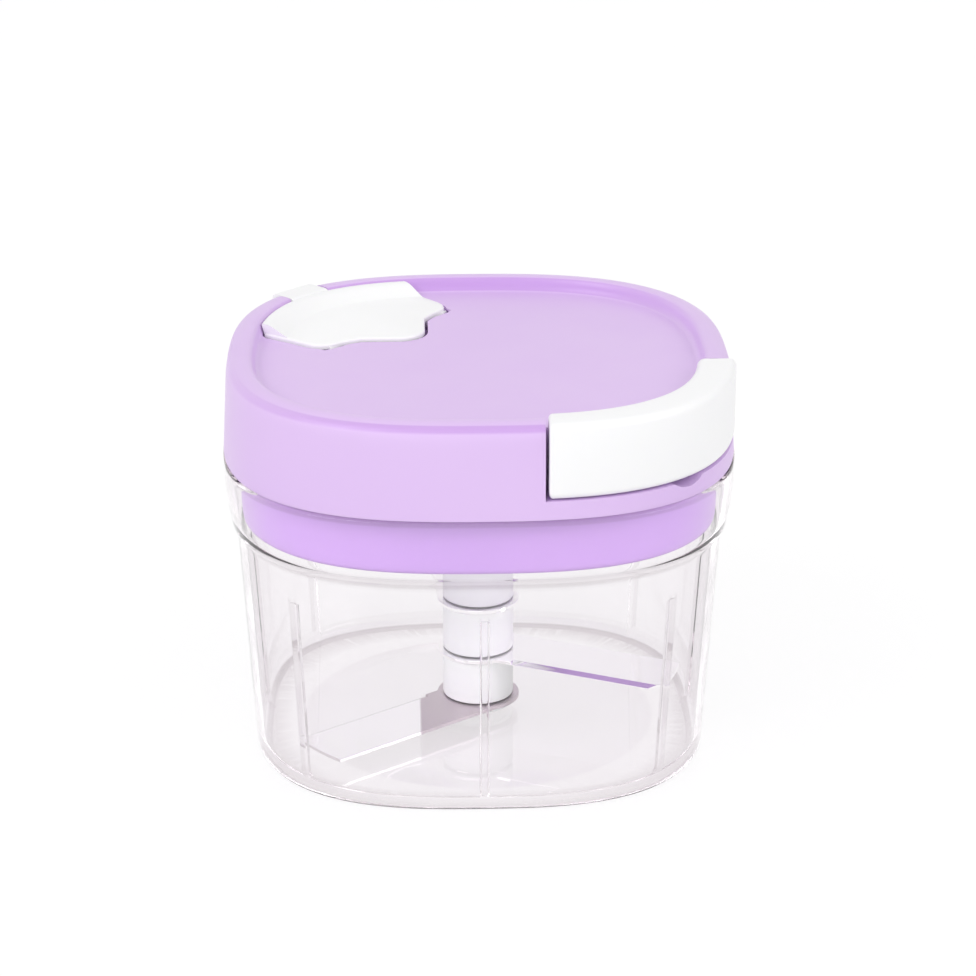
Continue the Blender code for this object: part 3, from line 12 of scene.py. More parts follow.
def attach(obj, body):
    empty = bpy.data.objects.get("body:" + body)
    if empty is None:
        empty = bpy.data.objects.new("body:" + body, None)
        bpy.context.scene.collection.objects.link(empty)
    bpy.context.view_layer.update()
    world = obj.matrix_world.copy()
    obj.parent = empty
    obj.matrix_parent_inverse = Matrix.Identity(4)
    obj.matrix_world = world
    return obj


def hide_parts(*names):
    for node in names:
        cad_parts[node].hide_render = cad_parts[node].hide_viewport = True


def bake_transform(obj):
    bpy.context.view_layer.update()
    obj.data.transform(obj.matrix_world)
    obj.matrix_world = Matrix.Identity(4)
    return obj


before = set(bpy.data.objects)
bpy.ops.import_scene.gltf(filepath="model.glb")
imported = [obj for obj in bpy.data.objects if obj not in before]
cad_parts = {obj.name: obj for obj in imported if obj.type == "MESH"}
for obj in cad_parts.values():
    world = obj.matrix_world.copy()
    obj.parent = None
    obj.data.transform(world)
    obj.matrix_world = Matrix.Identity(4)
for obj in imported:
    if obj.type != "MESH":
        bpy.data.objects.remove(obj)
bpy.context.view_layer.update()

# Camera of the photograph
CAMERA_PLACE = (-0.01897, -0.70094, 0.33002)
CAMERA_DOWN = 20.913
CAMERA_RIGHT = 1.758
CAMERA_LENS = 110.0

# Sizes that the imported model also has
FIT = 0.0003
RUNNING = 0.0004
PAST = 0.0020
BOWL_POWER = 2.81
BOWL_FOOT_HALF = 0.0570
BOWL_SPREAD = 0.0034
BOWL_FLOOR = 0.0022
BOWL_WALL_HEIGHT = 0.0583
BOWL_WALL = 0.0018
FLOOR_CORNER = 0.0030
RIB_FOOT = 0.0052
RIB_WIDTH = 0.0020
PIN_BORE = 0.0023
LID_POWER = 2.69
LID_BOTTOM = 0.0777
LID_HEIGHT = 0.1006
LID_TOP_HALF = 0.0618
LID_WALL = 0.0020
RECESS_FLOOR = 0.0970
RECESS_HALF = 0.0553
RECESS_DRAFT = 0.0006
SLAB_BOTTOM = 0.0942
SKIRT_HALF = 0.0593
SKIRT_BOTTOM = 0.0631
SKIRT_TOP = 0.0782
DECK_BOTTOM = 0.0650
DECK_TOP = 0.0670
SEAT_HALF = 0.0533
SEAT_BOTTOM = 0.0822
SEAT_LEDGE = 0.0036
HANDLE_INNER = 0.0536
HANDLE_OUTER = 0.0630
HANDLE_LOW = 0.0825
HANDLE_TOP = 0.1010
HANDLE_END = 0.0147
HANDLE_WALL = 0.0022
PLATE_THICKNESS = 0.0018
SCOOP_RADIUS = 0.0090
SCOOP_DEPTH = 0.0016
CORE_RADIUS = 0.0056
HUB_RADIUS = 0.0090
BLADE_LEVELS = (0.0052, 0.0182, 0.0320)
BLADE_ANGLES = (-143.0, -25.0, 95.0)
BLADE_THICKNESS = 0.0009
BLADE_RING = 0.0105
BLADE_TIP = 0.0524
BLADE_LEAD = 0.0068
BLADE_TRAIL = 0.0102
BLADE_CLIP = 0.0030
FLAP_EDGE = 0.01287
FLAP_CORNER = 0.0070
FLAP_TOP = 0.0979
FLAP_BOTTOM = 0.0962
FLAP_GAP = 0.0008
FLAP_SWING = 0.0130
HINGE_OUT = 0.0330
HINGE_HEIGHT = 0.0959
HINGE_PIN_BORE = 0.0009
TRUNNION_RADIUS = 0.0019
TRUNNION_START = 0.0120
TRUNNION_END = 0.0204
CHUTE_NEAR = 0.0295
CHUTE_FAR = 0.0528
CHUTE_SIDE = 0.0152
CHUTE_WALL = 0.0012
TAB_WIDTH = 0.0126
TAB_GAP = 0.0004
TAB_OUT = 0.06755
TAB_TOP = 0.1004
CRADLE_GAP = 0.0008
SCREW_BORE = 0.00155
POSTS_OUT = math.hypot(0.038, 0.012)
POSTS_TURN = math.degrees(math.atan2(0.012, 0.038))
CORD_RADIUS = 0.0009
CORD_HEIGHT = 0.0872
EYELET_FLANGE = 0.0012
WINDING_RADIUS = 0.0174
WINDING_TOP = 0.0853
WINDING_DROP = 0.0021
FRONT_RIGHT = -45.0
BACK_LEFT = 135.0
OUTSIDE = 0.0780

# Sizes that only the looks have, or have finer
HANDLE_END_GAP = 0.0008
SEAT_END = HANDLE_END - HANDLE_END_GAP
RIB_START = 0.0510
BORDER_TOP = 0.1002
FLAP_SIDE = (
    (0.0505, 0.0256),
    (0.0415, 0.0242),
    (0.0365, 0.0237),
    (0.0346, 0.0232),
    (0.0328, 0.0220),
    (0.0317, 0.0203),
    (0.0313, 0.0184),
    (0.0311, 0.0164),
    (0.0306, 0.0142),
    (0.0296, 0.0114),
)
CORD_TWIST = 0.0016
SWING_CORNER = (
    (0.0332, 0.0196),
    (0.0307, 0.0196),
    (0.0307, 0.0218),
    (0.0310, 0.0226),
    (0.0317, 0.0229),
    (0.0332, 0.0230),
)
# Lowest and highest level, least half width and strength of each band of painted shade on the bowl, in place of the
# dark lines that refraction gives at its edges
PAINTED_EDGE_SHADE_BANDS = ((-0.0001, 0.0004, 0.0530, 0.6), (0.0598, 0.0613, 0.0580, 0.3), (0.0766, 0.0780, 0.0600, 0.27))

# Name, place, size and power of each lamp
SOFT_BOXES = (
    ("soft_box_left", (-0.9, -0.7, 1.1), 0.9, 8.0),
    ("soft_box_right", (1.0, -0.5, 0.8), 0.7, 4.2),
    ("soft_box_front", (-0.2, -1.2, 0.30), 0.8, 1.8),
)
LAMPS_AIM = Vector((0.0, 0.0, 0.06))

CLOSE = 0.000001
SOFTEN = math.radians(38.0)
SIDES = (-1.0, 1.0)
UP = Vector((0.0, 0.0, 1.0))


def add_camera():
    lens = bpy.data.cameras.new("photo_camera")
    lens.sensor_width = 36.0
    lens.lens = CAMERA_LENS
    lens.clip_start = 0.05
    lens.clip_end = 20.0
    camera = new_object("photo_camera", lens)
    camera.location = CAMERA_PLACE
    camera.rotation_euler = (math.radians(90.0 - CAMERA_DOWN), 0.0, math.radians(-CAMERA_RIGHT))
    bpy.context.scene.camera = camera


# ---------------------------------------------------------------- finishes


class NodeTree:
    """A node tree being made, with short ways to add nodes, join them and do sums."""

    def __init__(self, tree):
        self.tree = tree

    def give(self, node, inputs):
        """Each input, by its name or number, takes a value or what another node puts out."""
        for key, value in inputs.items():
            if isinstance(value, bpy.types.NodeSocket):
                self.tree.links.new(value, node.inputs[key])
            else:
                node.inputs[key].default_value = value

    def node(self, kind, inputs=None, **settings):
        made = self.tree.nodes.new(kind)
        for key, value in settings.items():
            setattr(made, key, value)
        self.give(made, inputs or {})
        return made

    def maths(self, operation, *values):
        return self.node("ShaderNodeMath", dict(enumerate(values)), operation=operation).outputs[0]

    def seen(self):
        """1 for what the camera sees, straight, in a gloss or through the bowl, and 0 for the light itself."""
        path = self.node("ShaderNodeLightPath").outputs
        first = self.maths("MAXIMUM", path["Is Camera Ray"], path["Is Glossy Ray"])
        return self.maths("MAXIMUM", first, path["Is Transmission Ray"])


class Finish(NodeTree):
    """A material being made: its Principled shader, and short ways to colour and roughen it."""

    def __init__(self, name, colour, roughness, metallic=0.0):
        self.material = bpy.data.materials.new(name)
        self.material.use_nodes = True
        super().__init__(self.material.node_tree)
        self.shader = self.tree.nodes["Principled BSDF"]
        self.output = self.tree.nodes["Material Output"]
        self.shade({"Base Color": (*colour, 1.0), "Roughness": roughness, "Metallic": metallic})

    def shade(self, inputs):
        self.give(self.shader, inputs)

    def noise(self, scale, detail=3.0, stretch=(1.0, 1.0, 1.0), source="Object"):
        place = self.node("ShaderNodeTexCoord").outputs[source]
        scaled = self.node("ShaderNodeMapping", {"Vector": place, "Scale": stretch}).outputs["Vector"]
        grains = {"Vector": scaled, "Scale": scale, "Detail": detail, "Roughness": 0.5}
        return self.node("ShaderNodeTexNoise", grains).outputs["Fac"]

    def ranged(self, value, low, high, low_in=0.3, high_in=0.7):
        span = {"Value": value, "From Min": low_in, "From Max": high_in, "To Min": low, "To Max": high}
        return self.node("ShaderNodeMapRange", span).outputs["Result"]

    def blended(self, value, low, high):
        blend = self.node("ShaderNodeMix", {0: value, 6: low, 7: high}, data_type="RGBA")
        self.shade({"Base Color": blend.outputs[2]})

    def tinted(self, value, low, high):
        """Base colour between two colours by a value."""
        self.blended(value, (*low, 1.0), (*high, 1.0))

    def marked(self, attribute, colour):
        """Another colour over the base colour, where an attribute of the mesh says so."""
        marks = self.node("ShaderNodeAttribute", attribute_name=attribute).outputs["Fac"]
        self.blended(marks, self.shader.inputs["Base Color"].links[0].from_socket, (*colour, 1.0))

    def bumped(self, *layers):
        """Raised grain from (value, height in metres, strength) layers."""
        before = {}
        for value, height, strength in layers:
            layer = {"Height": value, "Distance": height, "Strength": strength, **before}
            before = {"Normal": self.node("ShaderNodeBump", layer).outputs["Normal"]}
        self.shade(before)


def moulded_plastic(name, colour, shade, roughness, deep=None):
    """Injection-moulded plastic: slight unevenness of colour and gloss, a fine moulded grain, and, where a deep
    colour is given, painted shade in it where the mesh's deep marks say so.
    """
    finish = Finish(name, colour, roughness)
    finish.tinted(finish.ranged(finish.noise(18.0, 2.0), 0.0, 1.0), shade, colour)
    # The deep colour is painted shade, laid where the mesh's deep marks say so.
    if deep is not None:
        finish.marked("deep", deep)
    finish.bumped((finish.noise(30.0, 1.0), 0.0004, 0.06), (finish.noise(5200.0, 2.0), 0.00002, 0.18))
    finish.shade(
        {
            "Roughness": finish.ranged(finish.noise(60.0, 4.0), roughness - 0.04, roughness + 0.05),
            "IOR": 1.49,
            "Subsurface Weight": 0.06,
            "Subsurface Radius": (0.8, 0.7, 1.0),
            "Subsurface Scale": 0.003,
        }
    )
    return finish.material


def clear_plastic():
    """The bowl's clear plastic, with painted shade along its edges for the dark lines of refraction, which lets lamps
    reach what is inside.
    """
    clear = (0.985, 0.98, 0.985)
    finish = Finish("clear_plastic", clear, 0.02)
    edges = finish.node("ShaderNodeAttribute", attribute_name="edge").outputs["Fac"]
    # Painted shade: the edge marks darken the plastic where refraction and reflection would show dark lines.
    finish.tinted(edges, clear, (0.25, 0.17, 0.20))
    finish.shade(
        {
            "Roughness": finish.ranged(finish.noise(90.0, 3.0), 0.01, 0.03),
            "Transmission Weight": 1.0,
            "IOR": 1.06,
            "Coat Weight": 1.0,
            "Coat Roughness": 0.02,
        }
    )
    finish.bumped((finish.noise(22.0, 1.5, (1.0, 1.0, 0.35)), 0.0006, 0.05))
    shadow = finish.node("ShaderNodeLightPath").outputs["Is Shadow Ray"]
    passing = finish.node("ShaderNodeBsdfTransparent", {"Color": (0.98, 0.965, 0.98, 1.0)}).outputs[0]
    chosen = finish.node("ShaderNodeMixShader", {0: shadow, 1: finish.shader.outputs[0], 2: passing}).outputs[0]
    tint = finish.node("ShaderNodeVolumeAbsorption", {"Color": (0.30, 0.0, 0.20, 1.0), "Density": 11.0}).outputs[0]
    finish.give(finish.output, {"Surface": chosen, "Volume": tint})
    return finish.material


def ground_steel(name, root):
    """Polished blade steel with fine lines across each blade by its own UV map, and a rougher root by the hub that
    carries a darker painted reflection of the hub.
    """
    finish = Finish(name, (0.90, 0.89, 0.90), 0.10, 1.0)
    lines = finish.noise(1.0, 4.0, (900.0, 60.0, 1.0), "UV")
    place = finish.node("ShaderNodeTexCoord").outputs["UV"]
    along, aside, _ = finish.node("ShaderNodeSeparateXYZ", {0: place}).outputs
    slant = finish.maths("MULTIPLY_ADD", aside, -0.75, along)
    outside_painted_reflection = finish.ranged(slant, 0.0, 1.0, root - 0.0003, root + 0.0003)
    # Dark at the root: a painted reflection of the hub on the blade.
    finish.tinted(outside_painted_reflection, (0.60, 0.53, 0.57), (0.985, 0.975, 0.98))
    satin = finish.ranged(outside_painted_reflection, 0.30, 0.07, 0.0, 1.0)
    finish.shade({"Roughness": finish.maths("ADD", finish.ranged(lines, 0.0, 0.06), satin)})
    finish.bumped((lines, 0.00001, 0.08))
    return finish.material


def turned_steel(name, colour, roughness):
    """Small turned and stamped steel parts."""
    finish = Finish(name, colour, roughness, 1.0)
    marks = finish.noise(400.0, 4.0, (1.0, 1.0, 6.0))
    finish.shade({"Roughness": finish.ranged(marks, roughness - 0.06, roughness + 0.10)})
    finish.tinted(finish.ranged(finish.noise(150.0, 2.0), 0.0, 1.0), tuple(0.9 * part for part in colour), colour)
    finish.bumped((marks, 0.00001, 0.3))
    return finish.material


def twisted_cord(name, along_uv):
    """Three-strand cord: the twist follows the UV map, or the straight line through the eyelet."""
    finish = Finish(name, (0.86, 0.86, 0.84), 0.8)
    place = finish.node("ShaderNodeTexCoord").outputs
    if along_uv:
        length, turns, _ = finish.node("ShaderNodeSeparateXYZ", {0: place["UV"]}).outputs
        around = finish.maths("MULTIPLY", turns, 2.0 * math.pi)
    else:
        line = {"Location": (0.0, 0.0, -CORD_HEIGHT), "Rotation": (0.0, 0.0, math.radians(-FRONT_RIGHT))}
        line = finish.node("ShaderNodeMapping", {"Vector": place["Object"], **line}, vector_type="POINT")
        length, aside, rise = finish.node("ShaderNodeSeparateXYZ", {0: line.outputs["Vector"]}).outputs
        around = finish.maths("ARCTAN2", rise, aside)
    run = finish.maths("MULTIPLY", length, 2.0 * math.pi / CORD_TWIST)
    wave = finish.maths("SINE", finish.maths("MULTIPLY_ADD", around, 3.0, run))
    # Darker in the grooves between the strands, where the bump is low: painted shade.
    finish.tinted(finish.ranged(wave, 0.0, 1.0, -1.0, 0.6), (0.50, 0.50, 0.49), (0.87, 0.87, 0.85))
    finish.bumped((wave, 0.00022, 0.8), (finish.noise(2500.0, 3.0), 0.00004, 0.4))
    finish.shade({"Sheen Weight": 0.3})
    return finish.material


# ---------------------------------------------------------------- ways of making meshes


def painted(item, look):
    item.data.materials.clear()
    item.data.materials.append(look)
    return item


def new_object(name, data, look=None):
    made = bpy.data.objects.new(name, data)
    bpy.context.scene.collection.objects.link(made)
    return made if look is None else painted(made, look)


def softened(item, angle=SOFTEN):
    item.data.shade_smooth()
    item.data.set_sharp_from_angle(angle=angle)
    return item


def closed_mesh(name, builder, look=None, angle=SOFTEN):
    bmesh.ops.remove_doubles(builder, verts=builder.verts, dist=CLOSE)
    bmesh.ops.recalc_face_normals(builder, faces=builder.faces)
    mesh = bpy.data.meshes.new(name)
    builder.to_mesh(mesh)
    builder.free()
    return softened(new_object(name, mesh, look), angle)


def squircle_radius(half, power, angle):
    """Distance from the centre to a rounded square of this half width."""
    return half * (abs(math.cos(angle)) ** power + abs(math.sin(angle)) ** power) ** (-1.0 / power)


def eased(corners, steps=4):
    """Profile points through (half width, height) corners. One with a radius after them is turned through a curve."""
    points = []
    for index, (half, height, *radius) in enumerate(corners):
        if not radius:
            points.append((half, height))
            continue
        here = Vector((half, height))
        before = Vector(corners[index - 1][:2]) - here
        after = Vector(corners[(index + 1) % len(corners)][:2]) - here
        back, on = (way.normalized() * min(radius[0], way.length * 0.4) for way in (before, after))
        start, end = here + back, here + on
        points.append(tuple(start + back * 0.2))
        for step in range(steps + 1):
            t = step / steps
            points.append(tuple(start * (1 - t) ** 2 + here * 2 * t * (1 - t) + end * t * t))
        points.append(tuple(end + on * 0.2))
    return points


def plain_mesh(name, item):
    """The item's evaluated shape as a plain mesh in a new object, in place of the item."""
    bpy.context.view_layer.update()
    mesh = bpy.data.meshes.new_from_object(item.evaluated_get(bpy.context.evaluated_depsgraph_get()))
    looks = [look for look in mesh.materials if look is not None]
    bpy.data.objects.remove(item, do_unlink=True)
    mesh.name = name
    mesh.materials.clear()
    builder = bmesh.new()
    builder.from_mesh(mesh)
    bmesh.ops.dissolve_degenerate(builder, edges=builder.edges, dist=CLOSE)
    bmesh.ops.recalc_face_normals(builder, faces=builder.faces)
    for face in builder.faces:
        face.material_index = 0
    builder.to_mesh(mesh)
    builder.free()
    return new_object(name, mesh, looks[0] if looks else None)


class ShapeTree(NodeTree):
    """A geometry tree being made: its inputs by name and kind, and the pieces that it fills."""

    def __init__(self, name, inputs):
        super().__init__(bpy.data.node_groups.new(name, "GeometryNodeTree"))
        outline = self.tree.interface
        outline.new_socket("Geometry", in_out="OUTPUT", socket_type="NodeSocketGeometry")
        self.sockets = {}
        for label, kind in inputs.items():
            socket = outline.new_socket(label, in_out="INPUT", socket_type="NodeSocket" + kind)
            self.sockets[label] = socket.identifier
        self.given = self.node("NodeGroupInput").outputs

    def close(self, geometry):
        """The tree puts this geometry out as one mesh in the given material."""
        real = self.node("GeometryNodeRealizeInstances", {0: geometry}).outputs[0]
        finished = {"Geometry": real, "Material": self.given["Material"]}
        self.node("NodeGroupOutput", {0: self.node("GeometryNodeSetMaterial", finished).outputs[0]})

    def fill(self, name, values):
        """A new piece whose shape the tree makes from these values."""
        holder = new_object(name + "_tree", bpy.data.meshes.new(name + "_tree"))
        step = holder.modifiers.new("shape", "NODES")
        step.node_group = self.tree
        for label, value in values.items():
            step[self.sockets[label]] = value
        return softened(plain_mesh(name, holder))


def moulding_tree():
    """A rounded-square moulding: a grid takes each row's half width and height from a profile."""
    shape = ShapeTree(
        "rounded_square_moulding",
        {
            "Profile": "Object",
            "Rows": "Int",
            "Steps": "Int",
            "Power": "Float",
            "Gather": "Float",
            "Rib Proud": "Float",
            "Rib Width": "Float",
            "Material": "Material",
        },
    )
    given, node, maths = shape.given, shape.node, shape.maths
    size = {"Vertices X": maths("ADD", given["Steps"], 1.0), "Vertices Y": given["Rows"]}
    grid = node("GeometryNodeMeshGrid", size).outputs["Mesh"]
    index = node("GeometryNodeInputIndex").outputs[0]
    row = maths("MODULO", index, given["Rows"])
    column = maths("FLOOR", maths("DIVIDE", index, given["Rows"]))
    source = node("GeometryNodeObjectInfo", {"Object": given["Profile"]}).outputs["Geometry"]
    spot = {"Geometry": source, "Value": node("GeometryNodeInputPosition").outputs[0], "Index": row}
    taken = node("GeometryNodeSampleIndex", spot, data_type="FLOAT_VECTOR").outputs["Value"]
    half, kind, height = node("ShaderNodeSeparateXYZ", {0: taken}).outputs
    even = maths("MULTIPLY", maths("DIVIDE", column, given["Steps"]), 2.0 * math.pi)
    pull = maths("MULTIPLY", maths("SINE", maths("MULTIPLY", even, 8.0)), maths("DIVIDE", given["Gather"], 8.0))
    angle = maths("SUBTRACT", even, pull)
    roundness = maths("MAXIMUM", maths("MULTIPLY", kind, -1.0), 0.0)
    power = maths("ADD", given["Power"], maths("MULTIPLY", roundness, maths("SUBTRACT", 2.0, given["Power"])))
    cosine, sine = maths("COSINE", angle), maths("SINE", angle)
    reach = maths("ADD", *(maths("POWER", maths("ABSOLUTE", part), power) for part in (cosine, sine)))
    radius = maths("MULTIPLY", half, maths("POWER", reach, maths("DIVIDE", -1.0, power)))
    swing = maths("ABSOLUTE", maths("ARCSINE", maths("SINE", maths("MULTIPLY", angle, 4.0))))
    aside = maths("MULTIPLY", radius, maths("DIVIDE", swing, 4.0))
    near, far = (maths("MULTIPLY", given["Rib Width"], share) for share in (0.34, 0.56))
    flank = {"Value": aside, "From Min": near, "From Max": far, "To Min": 1.0, "To Max": 0.0}
    flank = node("ShaderNodeMapRange", flank, interpolation_type="SMOOTHSTEP").outputs[0]
    rise = maths("MULTIPLY", maths("MULTIPLY", given["Rib Proud"], maths("MAXIMUM", kind, 0.0)), flank)
    radius = maths("SUBTRACT", radius, rise)
    place = {0: maths("MULTIPLY", radius, cosine), 1: maths("MULTIPLY", radius, sine), 2: height}
    place = node("ShaderNodeCombineXYZ", place).outputs[0]
    moved = node("GeometryNodeSetPosition", {"Geometry": grid, "Position": place}).outputs[0]
    shape.close(node("GeometryNodeMergeByDistance", {"Geometry": moved, "Distance": 0.000002}).outputs[0])
    return shape


def moulding(name, profile, look=None, power=2.0, steps=192, closed=False, gather=0.0, rib_proud=0.0):
    """A rounded-square (or, by power 2, a round) moulding. Profile points are (half width, height) or
    (half width, kind, height), where kind 1 has the ribs and -1 is round. It runs up the outer side."""
    points = [point if len(point) == 3 else (point[0], 0.0, point[1]) for point in profile]
    if closed:
        points.append(points[0])
    line = bpy.data.meshes.new(name + "_profile")
    line.from_pydata(points, [], [])
    guide = new_object(name + "_profile", line)
    values = {
        "Profile": guide,
        "Rows": len(points),
        "Steps": steps,
        "Power": power,
        "Gather": gather,
        "Rib Proud": rib_proud,
        "Rib Width": RIB_WIDTH,
        "Material": look,
    }
    made = MOULDING.fill(name, values)
    bpy.data.objects.remove(guide, do_unlink=True)
    bpy.data.meshes.remove(line)
    return made


def prism(name, outline, bottom, top, place=None):
    """A flat outline carried from one level to another, then put in place."""
    builder = bmesh.new()
    low = [builder.verts.new((x, y, bottom)) for x, y in outline]
    high = [builder.verts.new((x, y, top)) for x, y in outline]
    builder.faces.new(list(reversed(low)))
    builder.faces.new(high)
    for index in range(len(outline)):
        after = (index + 1) % len(outline)
        builder.faces.new((low[index], low[after], high[after], high[index]))
    if place is not None:
        bmesh.ops.transform(builder, matrix=place, verts=builder.verts)
    return closed_mesh(name, builder)


def arc(centre_x, centre_y, radius, start, end, steps):
    points = []
    for step in range(steps + 1):
        angle = math.radians(start + (end - start) * step / steps)
        points.append((centre_x + radius * math.cos(angle), centre_y + radius * math.sin(angle)))
    return points


def hexagon(radius):
    return arc(0.0, 0.0, radius, 0.0, 300.0, 5)


def rod(name, radius, bottom, top, place=None, steps=64):
    return prism(name, arc(0.0, 0.0, radius, 0.0, 360.0 - 360.0 / steps, steps - 1), bottom, top, place)


def about_z(degrees):
    return Matrix.Rotation(math.radians(degrees), 4, "Z")


def at_post(index):
    """The place of one of the four screws of the lid."""
    return about_z(POSTS_TURN + 90.0 * index) @ Matrix.Translation((POSTS_OUT, 0.0, 0.0))


def block(name, low, high, turn):
    """A box between two corners, turned about Z by degrees."""
    outline = [(low[0], low[1]), (high[0], low[1]), (high[0], high[1]), (low[0], high[1])]
    return prism(name, outline, low[2], high[2], about_z(turn))


def rods_at_posts(name, radius, bottom, top, steps):
    return [rod("%s_%d" % (name, index), radius, bottom, top, at_post(index), steps) for index in range(4)]


def side_ends(side, near, far):
    """The lower and the upper end of what lies between two distances on one side."""
    return sorted((side * near, side * far))


def towards(angle):
    """The level direction at an angle in degrees."""
    return Vector((math.cos(math.radians(angle)), math.sin(math.radians(angle)), 0.0))


def set_at(spot, *axes):
    """A place whose X, Y and Z run along these axes."""
    return Matrix.Translation(spot) @ Matrix(axes).transposed().to_4x4()


def outward(angle, height):
    """Z runs outward along a diagonal, at this height."""
    direction = towards(angle)
    return set_at(UP * height, UP.cross(direction), UP, direction)


def across(angle, height=0.0, out=0.0):
    """X runs outward along a diagonal, Y up and Z across it."""
    direction = towards(angle)
    return set_at(direction * out + UP * height, direction, UP, direction.cross(UP))


def shaped(target, operation, *tools):
    """Cut, join or keep with other solids, which are used up."""
    for tool in tools:
        step = target.modifiers.new(tool.name, "BOOLEAN")
        step.operation = operation
        step.object = tool
        step.solver = "EXACT"
        step.material_mode = "TRANSFER"
    name = target.name
    target.name = name + "_raw"
    made = plain_mesh(name, target)
    for tool in tools:
        bpy.data.objects.remove(tool, do_unlink=True)
    return softened(made)


def cut(target, *tools):
    return shaped(target, "DIFFERENCE", *tools)


def joined(target, *tools):
    return shaped(target, "UNION", *tools)


def lofted(builder, rings):
    """Faces from ring to ring of vertices, and one over each end. Returns the faces between the rings."""
    faces = []
    count = len(rings[0])
    for lower, upper in zip(rings[:-1], rings[1:]):
        for index in range(count):
            after = (index + 1) % count
            faces.append(builder.faces.new((lower[index], lower[after], upper[after], upper[index])))
    builder.faces.new(list(reversed(rings[0])))
    builder.faces.new(rings[-1])
    return faces


def drawn_in(value, middle, inset):
    """A measure moved towards the middle, but not past it."""
    return value - math.copysign(min(inset, abs(value - middle)), value - middle)


def corner_sweep(name, section, end, steps=24, end_radius=0.0):
    """A (half width, height) section carried round the front right corner, with flat ends square to the lid."""
    middle_half = sum(half for half, height in section) / len(section)
    middle_height = sum(height for half, height in section) / len(section)
    stations = []
    if end_radius > 0.0:
        for step in range(6):
            turn = math.radians(90.0 * step / 6)
            stations.append((end + end_radius * (1.0 - math.cos(turn)), 0.0, end_radius * (1.0 - math.sin(turn))))
    stations += [(end + end_radius, step / steps, 0.0) for step in range(steps + 1)]
    builder = bmesh.new()
    rings, mirrored = [], []
    for start, share, inset in stations:
        front, right = [], []
        for half, height in section:
            half_in = drawn_in(half, middle_half, inset)
            height_in = drawn_in(height, middle_height, inset)
            corner = half_in * 2.0 ** (-1.0 / LID_POWER)
            near = start + (corner - start) * share
            far = (half_in**LID_POWER - near**LID_POWER) ** (1.0 / LID_POWER)
            front.append(builder.verts.new((near, -far, height_in)))
            if share < 1.0:
                right.append(builder.verts.new((far, -near, height_in)))
        rings.append(front)
        if right:
            mirrored.append(right)
    lofted(builder, rings + mirrored[::-1])
    return closed_mesh(name, builder)


def round_rect(low_x, high_x, low_y, high_y, radius, steps=3):
    right, top, left, bottom = high_x - radius, high_y - radius, low_x + radius, low_y + radius
    corners = ((right, bottom, -90.0), (right, top, 0.0), (left, top, 90.0), (left, bottom, 180.0))
    return [point for x, y, start in corners for point in arc(x, y, radius, start, start + 90.0, steps)]


def mark_points(mesh, name, power, strength):
    """A mark on each vertex, as strong as its place and the half width of its rounded square say."""
    marks = mesh.attributes.new(name, "FLOAT", "POINT")
    for index, vertex in enumerate(mesh.vertices):
        place = vertex.co
        half = (abs(place.x) ** power + abs(place.y) ** power) ** (1.0 / power)
        marks.data[index].value = strength(place, half)


def place_piece(item, body, slot, *nodes):
    """Put a finished piece on its body, in place of CAD nodes. The slot is not used."""
    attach(item, body)
    if nodes:
        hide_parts(*nodes)
    return item


# ---------------------------------------------------------------- the bowl and the blade unit


def wall_half(height):
    """Half width of the bowl's inner wall at a height."""
    return BOWL_FOOT_HALF + BOWL_SPREAD * (height - BOWL_FLOOR) / BOWL_WALL_HEIGHT - BOWL_WALL


def in_the_round(*points):
    """Profile points that stay round, whatever the moulding's power."""
    return [(half, -1.0, height) for half, height in points]


